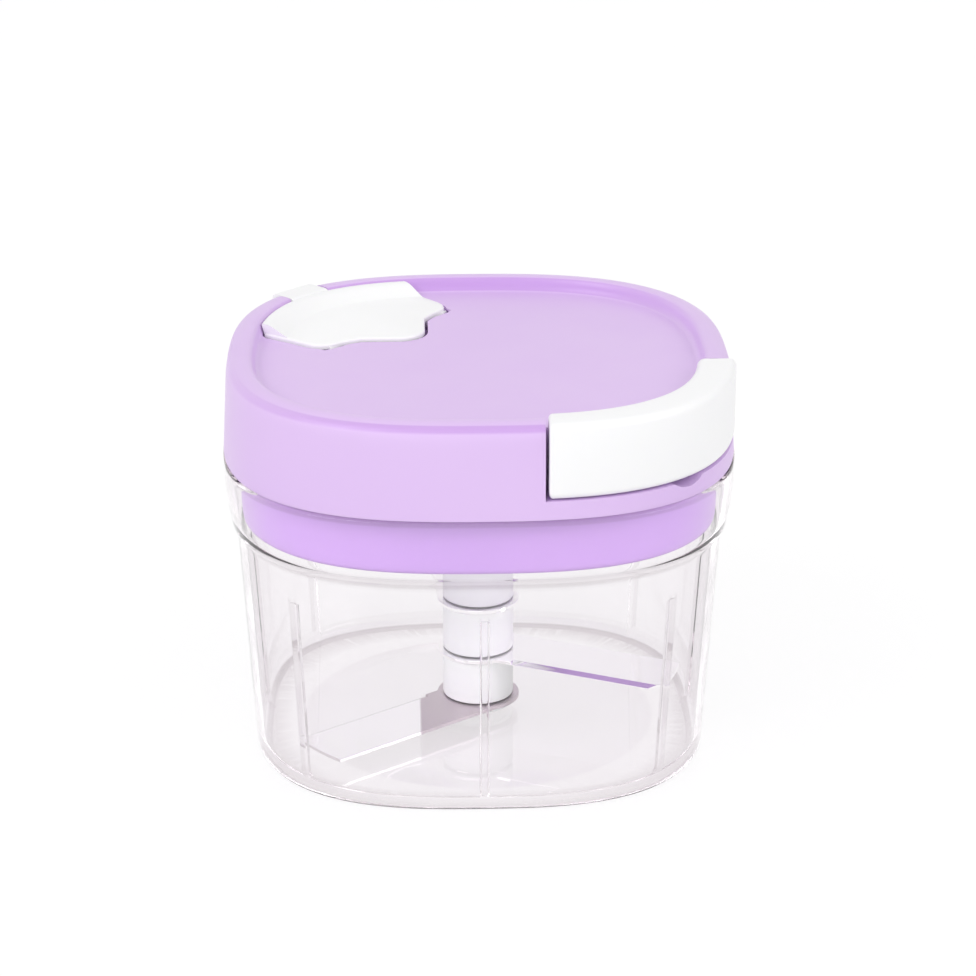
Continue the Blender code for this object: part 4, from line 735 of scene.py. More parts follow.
def make_bowl(look):
    """Clear bowl: foot ring, body with upright ribs inside, ledge, collar and rim."""
    outside = in_the_round((0.0, 0.0008), (0.0300, 0.0008), (0.0380, 0.0008), (0.0390, 0.0007))
    outside += in_the_round((0.0440, 0.0001), (0.0450, 0.0)) + [(0.0480, -0.4, 0.0), (0.0535, 0.0)]
    for step in range(1, 7):
        turn = math.radians(90.0 * step / 6)
        outside.append((0.0545 + 0.0025 * math.sin(turn), 0.0024 * (1.0 - math.cos(turn))))
    for height in (0.0032, 0.0120, 0.0240, 0.0360, 0.0480, 0.0585, 0.0596):
        outside.append((wall_half(height) + BOWL_WALL, height))
    outside += [(0.0604, 0.0602), (0.0606, 0.0606), (0.0611, 0.0610), (0.0615, 0.0615)]
    for share in (0.08, 0.12, 0.22, 0.35, 0.50, 0.65, 0.80, 0.92):
        outside.append((0.0614 + 0.0016 * share + 0.0007 * math.sin(math.pi * share), 0.0605 + 0.0169 * share))
    outside += eased([(0.0631, 0.0766), (0.0630, 0.0774, 0.0007), (0.0609, 0.0774, 0.0007), (0.0608, 0.0760)])
    inside = [(0.0609, 0.0720), (0.0607, 0.0680), (0.0603, 0.0640), (0.0601, 0.0630), (0.0598, 0.0622)]
    inside += [(0.0592, 0.0616), (0.0588, 0.0611), (0.0586, 0.0604)]
    ribbed = [(0.0580, 0.0), (0.0520, 0.0), (RIB_START, 0.0), (0.0506, 0.15), (0.0503, 0.7), (0.0500, 1.0)]
    ribbed += [(height, 1.0) for height in (0.0480, 0.0360, 0.0240, 0.0120, 0.0066)]
    inside += [(wall_half(height), kind, height) for height, kind in ribbed]
    for step in range(9):
        turn = math.radians(90.0 * step / 8)
        half = wall_half(RIB_FOOT) - FLOOR_CORNER * (1.0 - math.cos(turn))
        inside.append((half, 1.0 - (step / 8) ** 3, BOWL_FLOOR + FLOOR_CORNER * (1.0 - math.sin(turn))))
    inside += [(0.0500, BOWL_FLOOR), (0.0400, -0.5, BOWL_FLOOR)]
    inside += in_the_round((0.0200, BOWL_FLOOR), (0.0082, BOWL_FLOOR), (0.0074, 0.0023), (0.0069, 0.0026))
    inside += in_the_round((0.0065, 0.0031), (0.0060, 0.0034), (0.0054, 0.0035), (0.0026, 0.0035))
    inside += in_the_round((PIN_BORE, 0.0033), (PIN_BORE, 0.0014), (0.0, 0.0013))
    bowl = moulding("bowl_clear", outside + inside, look, BOWL_POWER, steps=384, gather=0.82, rib_proud=0.0013)
    # Marks of painted shade along the bowl's edges, ribs and floor.
    mark_points(bowl.data, "edge", BOWL_POWER, painted_edge_shade)
    place_piece(bowl, "bowl", "clear_plastic", "bowl")
    pin = eased([(0.0, 0.0016), (0.0020, 0.0016, 0.0003), (0.0020, 0.0155, 0.0008), (0.0, 0.0155)])
    place_piece(moulding("bowl_pin_turned", pin, TURNED_STEEL, steps=48), "bowl", "blade_steel", "bowl_pin")


def painted_edge_shade(place, half):
    """How strong the painted shade on the clear plastic is: at the foot's edge, the ledge, the rim and the sides of
    the ribs, where refraction would darken it, and a little over the floor.
    """
    aside = math.hypot(place.x, place.y) * abs(math.asin(math.sin(4.0 * math.atan2(place.y, place.x)))) / 4.0
    if RIB_FOOT < place.z < RIB_START and half < wall_half(place.z) + 0.0002 and 0.0006 < aside < 0.0013:
        return 0.19
    found = [strength for low, high, near, strength in PAINTED_EDGE_SHADE_BANDS if low <= place.z <= high and half >= near]
    return max([0.08 if place.z < RIB_FOOT else 0.0, *found])


def blade_plan():
    """The outline of one blade: its ring, then its arm with a clipped leading corner."""
    start = math.degrees(math.asin(BLADE_TRAIL / BLADE_RING))
    end = 360.0 - math.degrees(math.asin(BLADE_LEAD / BLADE_RING))
    points = arc(0.0, 0.0, BLADE_RING, start, end, 60)
    points.append((math.sqrt(BLADE_TIP**2 - BLADE_LEAD**2) - BLADE_CLIP, -BLADE_LEAD))
    first = -math.degrees(math.asin((BLADE_LEAD - BLADE_CLIP) / BLADE_TIP))
    last = math.degrees(math.asin(BLADE_TRAIL / BLADE_TIP))
    return points + arc(0.0, 0.0, BLADE_TIP, first, last, 24)


def make_blades(polished_look, painted_reflection_look):
    """Three flat blades, each ground thin along the edge that leads."""
    names = ("blade_lower", "blade_middle", "blade_upper")
    for name, level, degrees in zip(names, BLADE_LEVELS, BLADE_ANGLES):
        blade = prism(name + "_ground", blade_plan(), level, level + BLADE_THICKNESS)
        wedge = [(-0.0076, 0.0), (-0.0044, 0.0012), (-0.0076, 0.0012)]
        lengthwise = Matrix(((0, 0, 1, 0), (1, 0, 0, 0), (0, 1, 0, level), (0, 0, 0, 1)))
        grind = prism(name + "_grind", wedge, 0.0120, 0.0560, lengthwise)
        hole = prism(name + "_hole", hexagon(CORE_RADIUS + FIT), level - PAST, level + PAST + 0.001)
        blade = cut(blade, grind, hole)
        tips = blade.modifiers.new("edges", "BEVEL")
        tips.width = 0.00008
        tips.segments = 2
        tips.limit_method = "ANGLE"
        tips.angle_limit = math.radians(40.0)
        blade.name = name + "_raw"
        blade = plain_mesh(name + "_ground", blade)
        blade.data.transform(about_z(degrees))
        lay_grinding_map(blade.data, math.radians(degrees))
        # The lower blade alone gets the painted reflection of the hub at its root.
        softened(painted(blade, painted_reflection_look if name == "blade_lower" else polished_look), math.radians(20.0))
        place_piece(blade, "blades", "blade_steel", name)


def lay_grinding_map(mesh, angle):
    """UV map in metres: X along the blade and Y across it."""
    layer = mesh.uv_layers.new(name="grinding")
    cosine, sine = math.cos(angle), math.sin(angle)
    for loop in mesh.loops:
        point = mesh.vertices[loop.vertex_index].co
        layer.data[loop.index].uv = (point.x * cosine + point.y * sine, point.y * cosine - point.x * sine)


def make_hub(look, nylon):
    """The stacked white rings of the hub, the flange and core under them, and the drive coupling above."""
    lows = [level + BLADE_THICKNESS + FIT for level in BLADE_LEVELS]
    highs = (BLADE_LEVELS[1] - FIT, BLADE_LEVELS[2] - FIT, 0.0527)
    inner = CORE_RADIUS + FIT
    for name, low, high in zip(("hub_spacer_lower", "hub_spacer_middle", "hub_sleeve_upper"), lows, highs):
        ring = [(HUB_RADIUS, low, 0.0004), (HUB_RADIUS, high, 0.0004), (inner, high, 0.0002), (inner, low, 0.0002)]
        ring = moulding(name + "_turned", eased(ring), look, steps=96, closed=True)
        place_piece(ring, "blades", "hub_plastic", name)
    flange = [(PIN_BORE, 0.0038), (HUB_RADIUS, 0.0038, 0.0004), (HUB_RADIUS, 0.0049, 0.0002), (PIN_BORE, 0.0049)]
    flange = moulding("shaft_flange", eased(flange), look, steps=96, closed=True)
    core = prism("blade_shaft_core", hexagon(CORE_RADIUS), 0.0044, 0.0588)
    core = cut(joined(core, flange), rod("shaft_bore", PIN_BORE, 0.001, 0.0161))
    place_piece(painted(core, look), "blades", "hub_plastic", "blade_shaft")
    profile = eased([(0.0, 0.0530), (0.0094, 0.0530, 0.0006), (0.0094, 0.0642, 0.0010), (0.0, 0.0642)])
    coupling = moulding("drive_coupling_turned", profile, nylon, steps=96)
    socket = prism("drive_socket", hexagon(CORE_RADIUS + RUNNING), 0.050, 0.0608)
    spindle = prism("spindle_socket", hexagon(0.00414), 0.0619, 0.070)
    screw = rod("coupling_hole", SCREW_BORE, 0.055, 0.070, steps=24)
    place_piece(cut(coupling, socket, spindle, screw), "drive", "mechanism_nylon", "drive_coupling")


# ---------------------------------------------------------------- the lid


def chute_block(name, grow, bottom, top):
    """The fill chute, with the quarter round that the inner end of the flap swings through."""
    low = CHUTE_NEAR - grow
    far = CHUTE_FAR + grow
    radius = FLAP_SWING + grow
    below = max(HINGE_HEIGHT - top, 0.0)
    start = 180.0 + math.degrees(math.asin(below / radius))
    end = 180.0 + math.degrees(math.acos((HINGE_OUT - low) / radius))
    outline = [(far, bottom), (far, top)]
    if top > HINGE_HEIGHT:
        outline.append((HINGE_OUT - radius, top))
    outline += arc(HINGE_OUT, HINGE_HEIGHT, radius, start, end, 24)
    outline.append((low, bottom))
    side = CHUTE_SIDE + grow
    return prism(name, outline, -side, side, across(BACK_LEFT))


def inner_corner(edge):
    """The rounded corner of the flap towards the middle of the lid, in world X and Y."""
    return arc(-edge - FLAP_CORNER, edge + FLAP_CORNER, FLAP_CORNER, 0.0, -90.0, 16)


def flap_side(grow):
    """The flap's edge from the back wall round its inner corner to the left wall, in world X and Y, moved out."""
    root = math.sqrt(0.5)
    right = [((aside - out) * root, (aside + out) * root) for out, aside in FLAP_SIDE]
    line = right + inner_corner(FLAP_EDGE) + [(-y, -x) for x, y in reversed(right)]
    moved = []
    for index, point in enumerate(line):
        before, after = line[max(index - 1, 0)], line[min(index + 1, len(line) - 1)]
        ahead = (Vector(after) - Vector(before)).normalized()
        moved.append((point[0] - ahead.y * grow, point[1] + ahead.x * grow))
    return moved


def reach_wall(before, point, half):
    """The point where a line through two points meets the recess wall's curve."""
    start = Vector(before)
    ahead = (Vector(point) - start).normalized()
    near, far = 0.0, 0.030
    for step in range(40):
        middle = (near + far) / 2.0
        here = start + ahead * middle
        if abs(here.x) ** LID_POWER + abs(here.y) ** LID_POWER < half**LID_POWER:
            near = middle
        else:
            far = middle
    return tuple(start + ahead * near)


def wall_point(half, angle):
    radius = squircle_radius(half, LID_POWER, angle)
    return radius * math.cos(angle), radius * math.sin(angle)


def flap_plan(grow, rim_gap):
    """The whole outline of the flap, anticlockwise, closed by the recess wall's curve."""
    half = RECESS_HALF - RECESS_DRAFT - rim_gap
    side = flap_side(grow)
    side[0] = reach_wall(side[1], side[0], half)
    side[-1] = reach_wall(side[-2], side[-1], half)
    first = math.atan2(side[0][1], side[0][0])
    last = math.atan2(side[-1][1], side[-1][0])
    return [wall_point(half, first + (last - first) * step / 48) for step in range(1, 48)] + side[::-1]


def flap_border():
    """The raised border with which the flap climbs the recess wall, trimmed to the flap's sides."""
    wall = RECESS_HALF - RECESS_DRAFT - 0.0004
    section = eased(
        [
            (wall - 0.0075, FLAP_TOP - 0.0004),
            (wall - 0.0060, FLAP_TOP + 0.0001, 0.0016),
            (wall - 0.0014, BORDER_TOP, 0.0014),
            (wall + 0.0009, BORDER_TOP, 0.0006),
            (wall + 0.0001, FLAP_TOP - 0.0004),
        ]
    )
    builder = bmesh.new()
    rings = []
    for step in range(65):
        angle = math.radians(98.0 + 74.0 * step / 64)
        rings.append([builder.verts.new((*wall_point(half, angle), height)) for half, height in section])
    lofted(builder, rings)
    border = closed_mesh("flap_border", builder)
    trim = prism("flap_trim", flap_plan(-0.0003, -0.0030), FLAP_BOTTOM - PAST, LID_HEIGHT + PAST)
    return shaped(border, "INTERSECT", trim)


def fill_opening():
    """What is cut from the lid's slab under the flap, narrower than the flap so that it has a ledge."""
    edge = FLAP_EDGE - FLAP_GAP - 0.00025
    turn = Matrix.Rotation(math.radians(-BACK_LEFT), 2)
    points = [tuple(turn @ Vector(point)) for point in inner_corner(edge)]
    side = CHUTE_SIDE - 0.0005
    far = CHUTE_FAR - 0.0005
    meet = edge * math.sqrt(2.0) + side
    points += [(meet, side), (far, side), (far, -side), (meet, -side)]
    return prism("fill_opening", points, SLAB_BOTTOM - 0.001, FLAP_BOTTOM + 0.0005, about_z(BACK_LEFT))


def make_lid_cover(look):
    """Lilac shell: soft rim round a recess, with the handle's seat, the flap's seat and the fill chute."""
    outside = [(0.0, LID_BOTTOM), (0.0610, LID_BOTTOM), (0.0630, LID_BOTTOM, 0.0002), (LID_TOP_HALF, 0.0992, 0.0034)]
    outside += [(LID_TOP_HALF - 0.0030, LID_HEIGHT, 0.0016), (RECESS_HALF + 0.0004, LID_HEIGHT, 0.0016)]
    outside += [(RECESS_HALF - RECESS_DRAFT, RECESS_FLOOR, 0.0014), (0.0, RECESS_FLOOR)]
    cover = moulding("lid_shell", eased(outside, 6), look, LID_POWER, steps=256)
    hollow = [(0.0, LID_BOTTOM - PAST), (0.0610, LID_BOTTOM - PAST), (0.0598, 0.0965), (0.0590, 0.0986)]
    hollow += [(0.0573, 0.0986), (0.0567, 0.0950), (0.0547, SLAB_BOTTOM), (0.0, SLAB_BOTTOM)]
    cavity = moulding("lid_hollow", hollow, None, LID_POWER, steps=128)
    high = LID_HEIGHT + 0.004
    wall = round_rect(SEAT_HALF - LID_WALL, 0.0680, SEAT_BOTTOM - SEAT_LEDGE, high, 0.0010, 1)
    slot = TAB_WIDTH / 2.0 + TAB_GAP
    reach = slot + LID_WALL
    keep = [
        corner_sweep("seat_wall", wall, SEAT_END - LID_WALL),
        block("tab_wall", (TAB_OUT - 0.0155, -reach, SLAB_BOTTOM - 0.001), (OUTSIDE, reach, high), BACK_LEFT),
        chute_block("chute_wall", CHUTE_WALL, DECK_TOP + FIT, high),
    ]
    deep = TRUNNION_RADIUS + CRADLE_GAP + CHUTE_WALL
    for side in SIDES:
        near, far = side_ends(side, CHUTE_SIDE - 0.001, TRUNNION_END + 0.0044)
        low = (HINGE_OUT - deep, near, HINGE_HEIGHT - deep)
        keep.append(block("hinge_wall_%d" % side, low, (HINGE_OUT + deep, far, high), BACK_LEFT))
    keep.append(rod("axle_boss", 0.0062, 0.0890, high))
    keep += rods_at_posts("screw_post", 0.0036, DECK_TOP + FIT, high, 32)
    cavity = cut(cavity, *keep)
    high += PAST
    seat = round_rect(SEAT_HALF, 0.0700, SEAT_BOTTOM, high, 0.0008, 3)
    scoop = outward(FRONT_RIGHT, SEAT_BOTTOM - SCOOP_DEPTH + SCOOP_RADIUS)
    slot_low = (TAB_OUT - 0.0135, -slot, FLAP_BOTTOM - FIT)
    away = [
        cavity,
        corner_sweep("handle_seat", seat, SEAT_END),
        rod("finger_scoop", SCOOP_RADIUS, 0.0620, OUTSIDE, scoop, 128),
        rod("eyelet_hole", 0.0036, 0.0500, 0.0620, outward(FRONT_RIGHT, CORD_HEIGHT), 48),
        prism("flap_seat", flap_plan(FLAP_GAP, -0.0001), FLAP_BOTTOM - FIT, high),
        fill_opening(),
        block("tab_slot", slot_low, (OUTSIDE, slot, high), BACK_LEFT),
        chute_block("chute_bore", 0.0, 0.060, SLAB_BOTTOM + 0.0010),
    ]
    hinge = across(BACK_LEFT, HINGE_HEIGHT, HINGE_OUT)
    half_facet = hinge @ Matrix.Rotation(math.pi / 16, 4, "Z")
    radius = TRUNNION_RADIUS + CRADLE_GAP
    cradle = arc(0.0, 0.0, radius, 180.0, 360.0, 16) + [(radius, 0.006), (-radius, 0.006)]
    for side in SIDES:
        ends = side_ends(side, TRUNNION_START, TRUNNION_END + 0.0010)
        away.append(prism("cradle_%d" % side, cradle, *ends, hinge))
        ends = side_ends(side, TRUNNION_END, TRUNNION_END + 0.0030)
        away.append(rod("hinge_bore_%d" % side, HINGE_PIN_BORE, *ends, half_facet, 16))
        ends = side_ends(side, CHUTE_SIDE - 0.0006, CHUTE_SIDE + 0.0034)
        away.append(rod("swing_relief_%d" % side, 0.0031, *ends, hinge, 48))
        corner = [(out, side * aside) for out, aside in SWING_CORNER]
        away.append(prism("corner_relief_%d" % side, corner, 0.0950, high, about_z(BACK_LEFT)))
    away.append(rod("axle_socket", 0.0035, 0.0800, 0.0937, None, 32))
    away += rods_at_posts("pilot", SCREW_BORE, 0.060, 0.0735, 16)
    cover = cut(cover, *away)
    # Marks of painted shade on the recess wall at the back and on the rim's front shoulder.
    mark_points(cover.data, "deep", LID_POWER, painted_rim_shade)
    place_piece(cover, "lid", "lilac_plastic", "lid_cover")


def painted_rim_shade(place, half):
    """How strong the painted shade on the lilac is: on the recess wall at the back, and on the rim's shoulder at the
    front.
    """
    back = place.y / max(half, 0.001)
    if half > 0.0598 and 0.0990 < place.z < LID_HEIGHT - 0.0001:
        return 0.9 * max(-back, 0.0) ** 2
    if 0.0544 < half < 0.0562 and RECESS_FLOOR + 0.0001 < place.z < LID_HEIGHT - 0.0003:
        return max(back, 0.0) ** 2
    return 0.0


def make_lid_base(look):
    """Lilac floor of the lid and the skirt that shows through the collar."""
    inner = SKIRT_HALF - LID_WALL
    profile = [(0.0, DECK_BOTTOM), (inner - 0.0002, DECK_BOTTOM, 0.0006), (inner + 0.0001, SKIRT_BOTTOM, 0.0004)]
    profile += [(SKIRT_HALF, SKIRT_BOTTOM, 0.0016), (SKIRT_HALF, SKIRT_TOP, 0.0004), (inner, SKIRT_TOP, 0.0004)]
    profile += [(inner, DECK_TOP, 0.0006), (0.0, DECK_TOP)]
    # The look is a darker copy of the lid's lilac, painted shade for the floor and skirt.
    base = moulding("lid_floor", eased(profile, 5), look, LID_POWER, steps=256)
    base = joined(base, rod("bearing_boss", 0.0081, DECK_BOTTOM + 0.0005, 0.0700))
    low = (CHUTE_NEAR + RUNNING, -CHUTE_SIDE + RUNNING, 0.060)
    chute = block("chute_hole", low, (CHUTE_FAR - RUNNING, CHUTE_SIDE - RUNNING, 0.070), BACK_LEFT)
    holes = rods_at_posts("screw_hole", SCREW_BORE, 0.060, 0.070, 16)
    base = cut(base, rod("bush_bore", 0.0063, 0.060, 0.080), chute, *holes)
    place_piece(base, "lid", "lilac_plastic", "lid_base")


def make_handle(look):
    """White grip round the corner, hollow behind, and the plate inside it that the cord comes through."""
    section = round_rect(HANDLE_INNER, HANDLE_OUTER, HANDLE_LOW, HANDLE_TOP, 0.0018, 6)
    grip = corner_sweep("handle_shell", section, HANDLE_END, 32, 0.0010)
    pocket_end = HANDLE_END + HANDLE_WALL
    low, high = HANDLE_LOW + HANDLE_WALL, RECESS_FLOOR - 2 * FIT
    pocket = round_rect(0.0500, HANDLE_OUTER - HANDLE_WALL, low, high, 0.0008, 3)
    grip = cut(grip, corner_sweep("handle_pocket", pocket, pocket_end))
    place_piece(painted(grip, look), "handle", "white_plastic", "handle_grip")
    near = HANDLE_INNER + FIT
    plate = round_rect(near, near + PLATE_THICKNESS, low + FIT, high - FIT, 0.0005, 3)
    back = corner_sweep("handle_plate", plate, pocket_end + FIT)
    back = cut(back, rod("cord_hole", CORD_RADIUS + 0.0004, 0.0500, 0.0700, outward(FRONT_RIGHT, CORD_HEIGHT), 32))
    place_piece(painted(back, look), "handle", "white_plastic", "handle_back")


def inset_outline(outline, inset):
    """An anticlockwise outline moved inwards by a distance at each point."""
    moved = []
    count = len(outline)
    for index, point in enumerate(outline):
        here = Vector(point)
        before = (here - Vector(outline[index - 1])).normalized()
        after = (Vector(outline[(index + 1) % count]) - here).normalized()
        normal = Vector((-before.y - after.y, before.x + after.x))
        stretch = max(0.5, normal.length / 2.0)
        moved.append(tuple(here + normal.normalized() * inset / stretch))
    return moved


def make_flap(look):
    """White fill flap with two hinge ears and a tab that fills the gap in the rim."""
    outline = flap_plan(0.0, 0.0004)
    levels = [(0.0004, FLAP_BOTTOM), (0.0, FLAP_BOTTOM + 0.0004), (0.0, FLAP_TOP - 0.0006)]
    levels += [(0.00008, FLAP_TOP - 0.0003), (0.0003, FLAP_TOP - 0.00008), (0.0006, FLAP_TOP)]
    builder = bmesh.new()
    rings = []
    for inset, height in levels:
        rings.append([builder.verts.new((x, y, height)) for x, y in inset_outline(outline, inset)])
    lofted(builder, rings)
    flap = closed_mesh("flap_plate", builder)
    tab = [(TAB_OUT - 0.0115, FLAP_BOTTOM), (TAB_OUT, FLAP_BOTTOM, 0.0004), (TAB_OUT, TAB_TOP, 0.0014)]
    tab += [(TAB_OUT - 0.0075, TAB_TOP, 0.0012), (TAB_OUT - 0.0100, FLAP_TOP - 0.0002, 0.0010)]
    tab += [(TAB_OUT - 0.0115, FLAP_TOP - 0.0002)]
    half = TAB_WIDTH / 2.0
    tools = [flap_border(), prism("flap_tab", eased(tab, 5), -half, half, across(BACK_LEFT))]
    hinge = across(BACK_LEFT, HINGE_HEIGHT, HINGE_OUT)
    bores = []
    for side in SIDES:
        ends = side_ends(side, TRUNNION_START, TRUNNION_END)
        tools.append(rod("trunnion_%d" % side, TRUNNION_RADIUS, *ends, hinge, 48))
        ends = side_ends(side, TRUNNION_END - 0.0032, TRUNNION_END + 0.001)
        bores.append(rod("trunnion_bore_%d" % side, HINGE_PIN_BORE, *ends, hinge, 16))
    flap = cut(joined(flap, *tools), *bores)
    place_piece(painted(flap, look), "flap", "white_plastic", "flap")


# ---------------------------------------------------------------- cord and small parts


def tube_along(name, route, radius, look, sides=16):
    """A round cord along a route, closed at both ends, with a UV map: metres along and turns around."""
    builder = bmesh.new()
    layer = builder.loops.layers.uv.new("twist")
    rings, run = [], [0.0]
    for before, after in zip(route[:-1], route[1:]):
        run.append(run[-1] + (after - before).length)
    side = None
    for index, point in enumerate(route):
        ahead = (route[min(index + 1, len(route) - 1)] - route[max(index - 1, 0)]).normalized()
        if side is None:
            side = ahead.cross(UP).normalized()
        side = (side - ahead * side.dot(ahead)).normalized()
        other = ahead.cross(side)
        ring = []
        for step in range(sides):
            angle = 2.0 * math.pi * step / sides
            ring.append(builder.verts.new(point + (side * math.cos(angle) + other * math.sin(angle)) * radius))
        rings.append(ring)
    for number, face in enumerate(lofted(builder, rings)):
        row, step = divmod(number, sides)
        corners = ((row, step), (row, step + 1), (row + 1, step + 1), (row + 1, step))
        for loop, (place, turn) in zip(face.loops, corners):
            loop[layer].uv = (run[place], turn / sides)
    return closed_mesh(name, builder, look, math.radians(60.0))


def smooth_route(points, spacing):
    padded = [2 * points[0] - points[1]] + list(points) + [2 * points[-1] - points[-2]]
    route = [points[0]]
    for index in range(1, len(padded) - 2):
        before, start, end, after = padded[index - 1 : index + 3]
        count = max(2, round((end - start).length / spacing))
        for step in range(1, count + 1):
            t = step / count
            blend = 2 * start + (end - before) * t
            blend = blend + (2 * before - 5 * start + 4 * end - after) * t * t
            blend = blend + (3 * start - before - 3 * end + after) * t**3
            route.append(blend / 2)
    return route


def eyelet_mouth():
    return squircle_radius(SEAT_HALF - LID_WALL, LID_POWER, math.radians(FRONT_RIGHT)) - EYELET_FLANGE


def on_drum(angle, height):
    return Vector((WINDING_RADIUS * math.cos(angle), WINDING_RADIUS * math.sin(angle), height))


def make_cords(wound_look, pulled_look):
    """The turns on the drum, the cord through the eyelet, and the knot behind the handle's plate."""
    mouth = eyelet_mouth()
    angle = math.radians(FRONT_RIGHT) + math.acos(WINDING_RADIUS / mouth)
    turns, per_turn = 2.65, 72
    winding = []
    count = round(turns * per_turn)
    for step in range(count + 1):
        back = (count - step) / per_turn
        winding.append(on_drum(angle + 2.0 * math.pi * back, WINDING_TOP - WINDING_DROP * back))
    place_piece(tube_along("cord_turns", winding, CORD_RADIUS, wound_look), "reel", "cord_nylon", "cord_winding")
    diagonal = Vector((math.sqrt(0.5), -math.sqrt(0.5), 0.0))
    leave = on_drum(angle, WINDING_TOP)
    straight = diagonal * mouth - Vector((leave.x, leave.y, 0.0))
    start = leave + straight.normalized() * FIT
    climb = CORD_HEIGHT - WINDING_TOP
    plate = squircle_radius(HANDLE_INNER + FIT + PLATE_THICKNESS, LID_POWER, math.radians(FRONT_RIGHT))

    def in_line(out):
        return diagonal * out + UP * CORD_HEIGHT

    points = [
        start,
        start + straight * 0.20,
        start + straight * 0.50 + UP * climb * 0.45,
        start + straight * 0.80 + UP * climb * 0.85,
        in_line(mouth),
    ]
    inner, outer = mouth + EYELET_FLANGE, plate - 0.0006
    route = smooth_route(points, 0.002) + [in_line(inner)]
    route += [in_line(inner + (outer - inner) * step / 40) for step in range(1, 41)]
    route.append(in_line(plate + 0.0002))
    cord = tube_along("cord_lead", route, CORD_RADIUS, pulled_look)
    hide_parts("pull_cord")
    start_point = in_line(inner)
    end_point = in_line(outer)
    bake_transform(cord)
    wraps = []
    place = outward(FRONT_RIGHT, CORD_HEIGHT)
    swell = 0.0012
    for step in range(61):
        turn = 2.0 * math.pi * step / 20
        out = plate + FIT + 0.0007 + 0.0025 * step / 60
        wraps.append(place @ Vector((swell * math.cos(turn), swell * math.sin(turn), out)))
    place_piece(tube_along("cord_knot_wraps", wraps, 0.0007, wound_look, 12), "handle", "cord_nylon", "cord_knot")


def make_eyelet(look):
    mouth = eyelet_mouth()
    face = squircle_radius(SEAT_HALF, LID_POWER, math.radians(FRONT_RIGHT))
    profile = [(0.0044, mouth, 0.0005), (0.0044, mouth + EYELET_FLANGE, 0.0002), (0.0033, mouth + EYELET_FLANGE)]
    profile += [(0.0033, face, 0.0003), (0.0019, face, 0.0005), (0.0019, mouth, 0.0006)]
    eyelet = moulding("cord_eyelet_turned", eased(profile, 5), look, steps=64, closed=True)
    eyelet.data.transform(outward(FRONT_RIGHT, CORD_HEIGHT))
    place_piece(eyelet, "lid", "fixing_steel", "cord_eyelet")


def screw_tree():
    """Copies of a screw on a circle, each turned a little further than the one before."""
    shape = ShapeTree(
        "screws_on_a_circle",
        {
            "Count": "Int",
            "Circle Radius": "Float",
            "First Turn": "Float",
            "Head Height": "Float",
            "Screw": "Object",
            "Material": "Material",
        },
    )
    given, node = shape.given, shape.node

    def in_z(value):
        return node("ShaderNodeCombineXYZ", {"Z": value}).outputs[0]

    circle = node("GeometryNodeMeshCircle", {"Vertices": given["Count"], "Radius": given["Circle Radius"]})
    shift = {"Rotation": in_z(given["First Turn"]), "Translation": in_z(given["Head Height"])}
    points = node("GeometryNodeTransform", {"Geometry": circle.outputs["Mesh"], **shift}).outputs[0]
    screw = node("GeometryNodeObjectInfo", {"Object": given["Screw"]}).outputs["Geometry"]
    spin = in_z(shape.maths("MULTIPLY", node("GeometryNodeInputIndex").outputs[0], 0.7))
    spread = {"Points": points, "Instance": screw, "Rotation": spin}
    shape.close(node("GeometryNodeInstanceOnPoints", spread).outputs[0])
    return shape


def make_screws(look):
    """The four pan-head screws under the lid's floor, each with a cross recess in its head."""
    shank, head, depth, length = 0.00125, 0.0028, 0.0016, 0.0075
    profile = [(0.0, 0.0), (head, 0.0, 0.0010), (head, depth, 0.0002), (shank, depth)]
    profile += [(shank, depth + length, 0.0006), (0.0, depth + length)]
    screw = moulding("screw_blank", eased(profile), None, steps=40)
    slots = []
    for index in range(2):
        arms = [(-0.0016, -0.00035), (0.0016, -0.00035), (0.0016, 0.00035), (-0.0016, 0.00035)]
        slots.append(prism("cross_%d" % index, arms, -0.001, 0.0009 + 0.00005 * index, about_z(90.0 * index)))
    screw = cut(screw, *slots)
    values = {
        "Count": 4,
        "Circle Radius": POSTS_OUT,
        "First Turn": math.radians(POSTS_TURN),
        "Head Height": DECK_BOTTOM - FIT - depth,
        "Screw": screw,
        "Material": look,
    }
    made = screw_tree().fill("lid_screws", values)
    bpy.data.objects.remove(screw, do_unlink=True)
    place_piece(made, "lid", "fixing_steel", "lid_screw_1", "lid_screw_2", "lid_screw_3", "lid_screw_4")


def finish_cad_nodes(looks):
    """The pieces inside the lid keep their solids and get their finishes."""
    for look, names in looks:
        for name in names:
            painted(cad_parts[name], look)


# ---------------------------------------------------------------- floor and light


def add_floor():
    """A pale floor that runs to the horizon and keeps a faint shadow and reflection."""
    mesh = bpy.data.meshes.new("pale_floor")
    reach = 8.0
    corners = [(-reach, -reach, 0.0), (reach, -reach, 0.0), (reach, reach, 0.0), (-reach, reach, 0.0)]
    mesh.from_pydata(corners, [], [(0, 1, 2, 3)])
    finish = Finish("pale_floor", (0.90, 0.90, 0.905), 0.22)
    finish.shade({"Roughness": finish.ranged(finish.noise(3.0, 2.0), 0.20, 0.26)})
    share = finish.maths("MULTIPLY", finish.seen(), 0.80)
    glow = finish.node("ShaderNodeEmission", {"Strength": 1.06}).outputs[0]
    blend = finish.node("ShaderNodeMixShader", {0: share, 1: finish.shader.outputs[0], 2: glow}).outputs[0]
    finish.give(finish.output, {"Surface": blend})
    floor = new_object("pale_floor", mesh, finish.material)


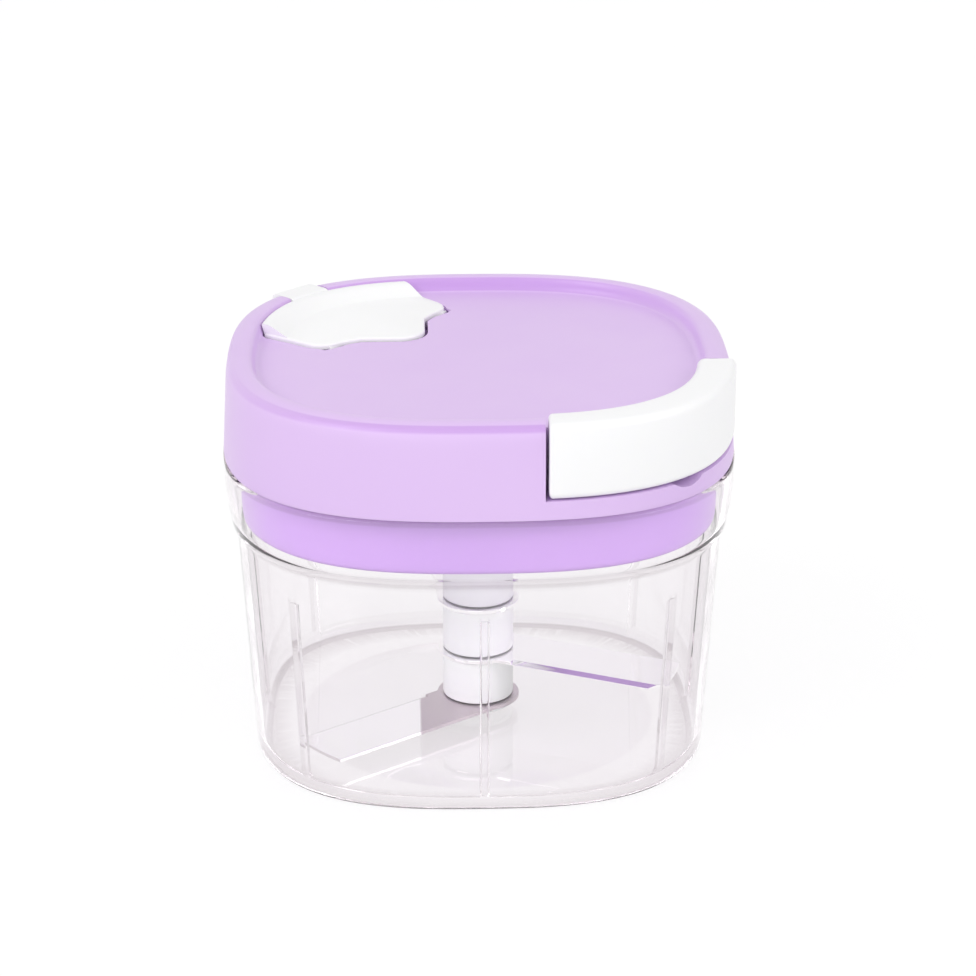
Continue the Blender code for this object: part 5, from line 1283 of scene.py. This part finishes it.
def add_lights():
    """A white surround for what the camera sees, a plain level for the light itself, and three soft boxes."""
    world = bpy.data.worlds.new("pale_surround")
    bpy.context.scene.world = world
    world.use_nodes = True
    world.node_tree.nodes.clear()
    sky = NodeTree(world.node_tree)
    level = sky.node("ShaderNodeMapRange", {"Value": sky.seen(), "To Min": 0.62, "To Max": 1.0}).outputs[0]
    surround = sky.node("ShaderNodeBackground", {"Color": (1.0, 1.0, 1.0, 1.0), "Strength": level}).outputs[0]
    sky.node("ShaderNodeOutputWorld", {"Surface": surround})
    for name, place, size, power in SOFT_BOXES:
        lamp = bpy.data.lights.new(name, "AREA")
        lamp.shape = "SQUARE"
        lamp.size = size
        lamp.energy = power
        holder = new_object(name, lamp)
        holder.location = place
        holder.rotation_euler = (LAMPS_AIM - Vector(place)).to_track_quat("-Z", "Y").to_euler()
    bpy.context.scene.view_settings.view_transform = "Standard"


add_camera()
MOULDING = moulding_tree()

# The last colour is painted shade for the lid's recess wall and rim shoulder.
LILAC_LOOK = moulded_plastic("lilac_plastic", (0.735, 0.535, 0.865), (0.715, 0.515, 0.855), 0.36, (0.60, 0.365, 0.77))
# A darker copy of the lilac: painted shade for the lid's floor and skirt, which lie under the lid and behind the
# collar.
LILAC_PAINTED_SHADE_LOOK = moulded_plastic("lilac_plastic_deep", (0.565, 0.35, 0.75), (0.545, 0.335, 0.74), 0.36)
WHITE_LOOK = moulded_plastic("white_plastic", (0.96, 0.96, 0.965), (0.94, 0.94, 0.95), 0.34)
HUB_LOOK = moulded_plastic("hub_plastic", (0.89, 0.91, 0.895), (0.87, 0.89, 0.88), 0.40)
NYLON_LOOK = moulded_plastic("mechanism_nylon", (0.84, 0.84, 0.82), (0.80, 0.80, 0.78), 0.45)
CLEAR_LOOK = clear_plastic()
BLADE_LOOK = ground_steel("blade_steel", -0.1)
# A painted reflection of the hub, dark on the lower blade's root.
BLADE_PAINTED_REFLECTION_LOOK = ground_steel("blade_root_steel", 0.0188)
TURNED_STEEL = turned_steel("turned_steel", (0.74, 0.74, 0.76), 0.26)
SPRING_STEEL = turned_steel("spring_steel", (0.50, 0.51, 0.56), 0.30)
BRONZE_LOOK = turned_steel("bush_bronze", (0.72, 0.55, 0.36), 0.38)
WOUND_CORD = twisted_cord("cord_wound", True)
PULLED_CORD = twisted_cord("cord_pulled", False)

make_bowl(CLEAR_LOOK)
make_blades(BLADE_LOOK, BLADE_PAINTED_REFLECTION_LOOK)
make_hub(HUB_LOOK, NYLON_LOOK)
make_lid_cover(LILAC_LOOK)
make_lid_base(LILAC_PAINTED_SHADE_LOOK)
make_handle(WHITE_LOOK)
make_flap(WHITE_LOOK)
make_cords(WOUND_CORD, PULLED_CORD)
make_eyelet(TURNED_STEEL)
make_screws(TURNED_STEEL)
pins = ("flap_pin_left", "flap_pin_right", "reel_axle", "pawl_pin_right", "pawl_pin_left", "spindle_screw")
mouldings = ("cord_reel", "spring_cap", "pawl_right", "pawl_left", "drive_spindle")
springs = ("axle_clip", "recoil_spring")
finish_cad_nodes(
    ((TURNED_STEEL, pins), (SPRING_STEEL, springs), (BRONZE_LOOK, ("spindle_bush",)), (NYLON_LOOK, mouldings))
)
add_floor()
add_lights()
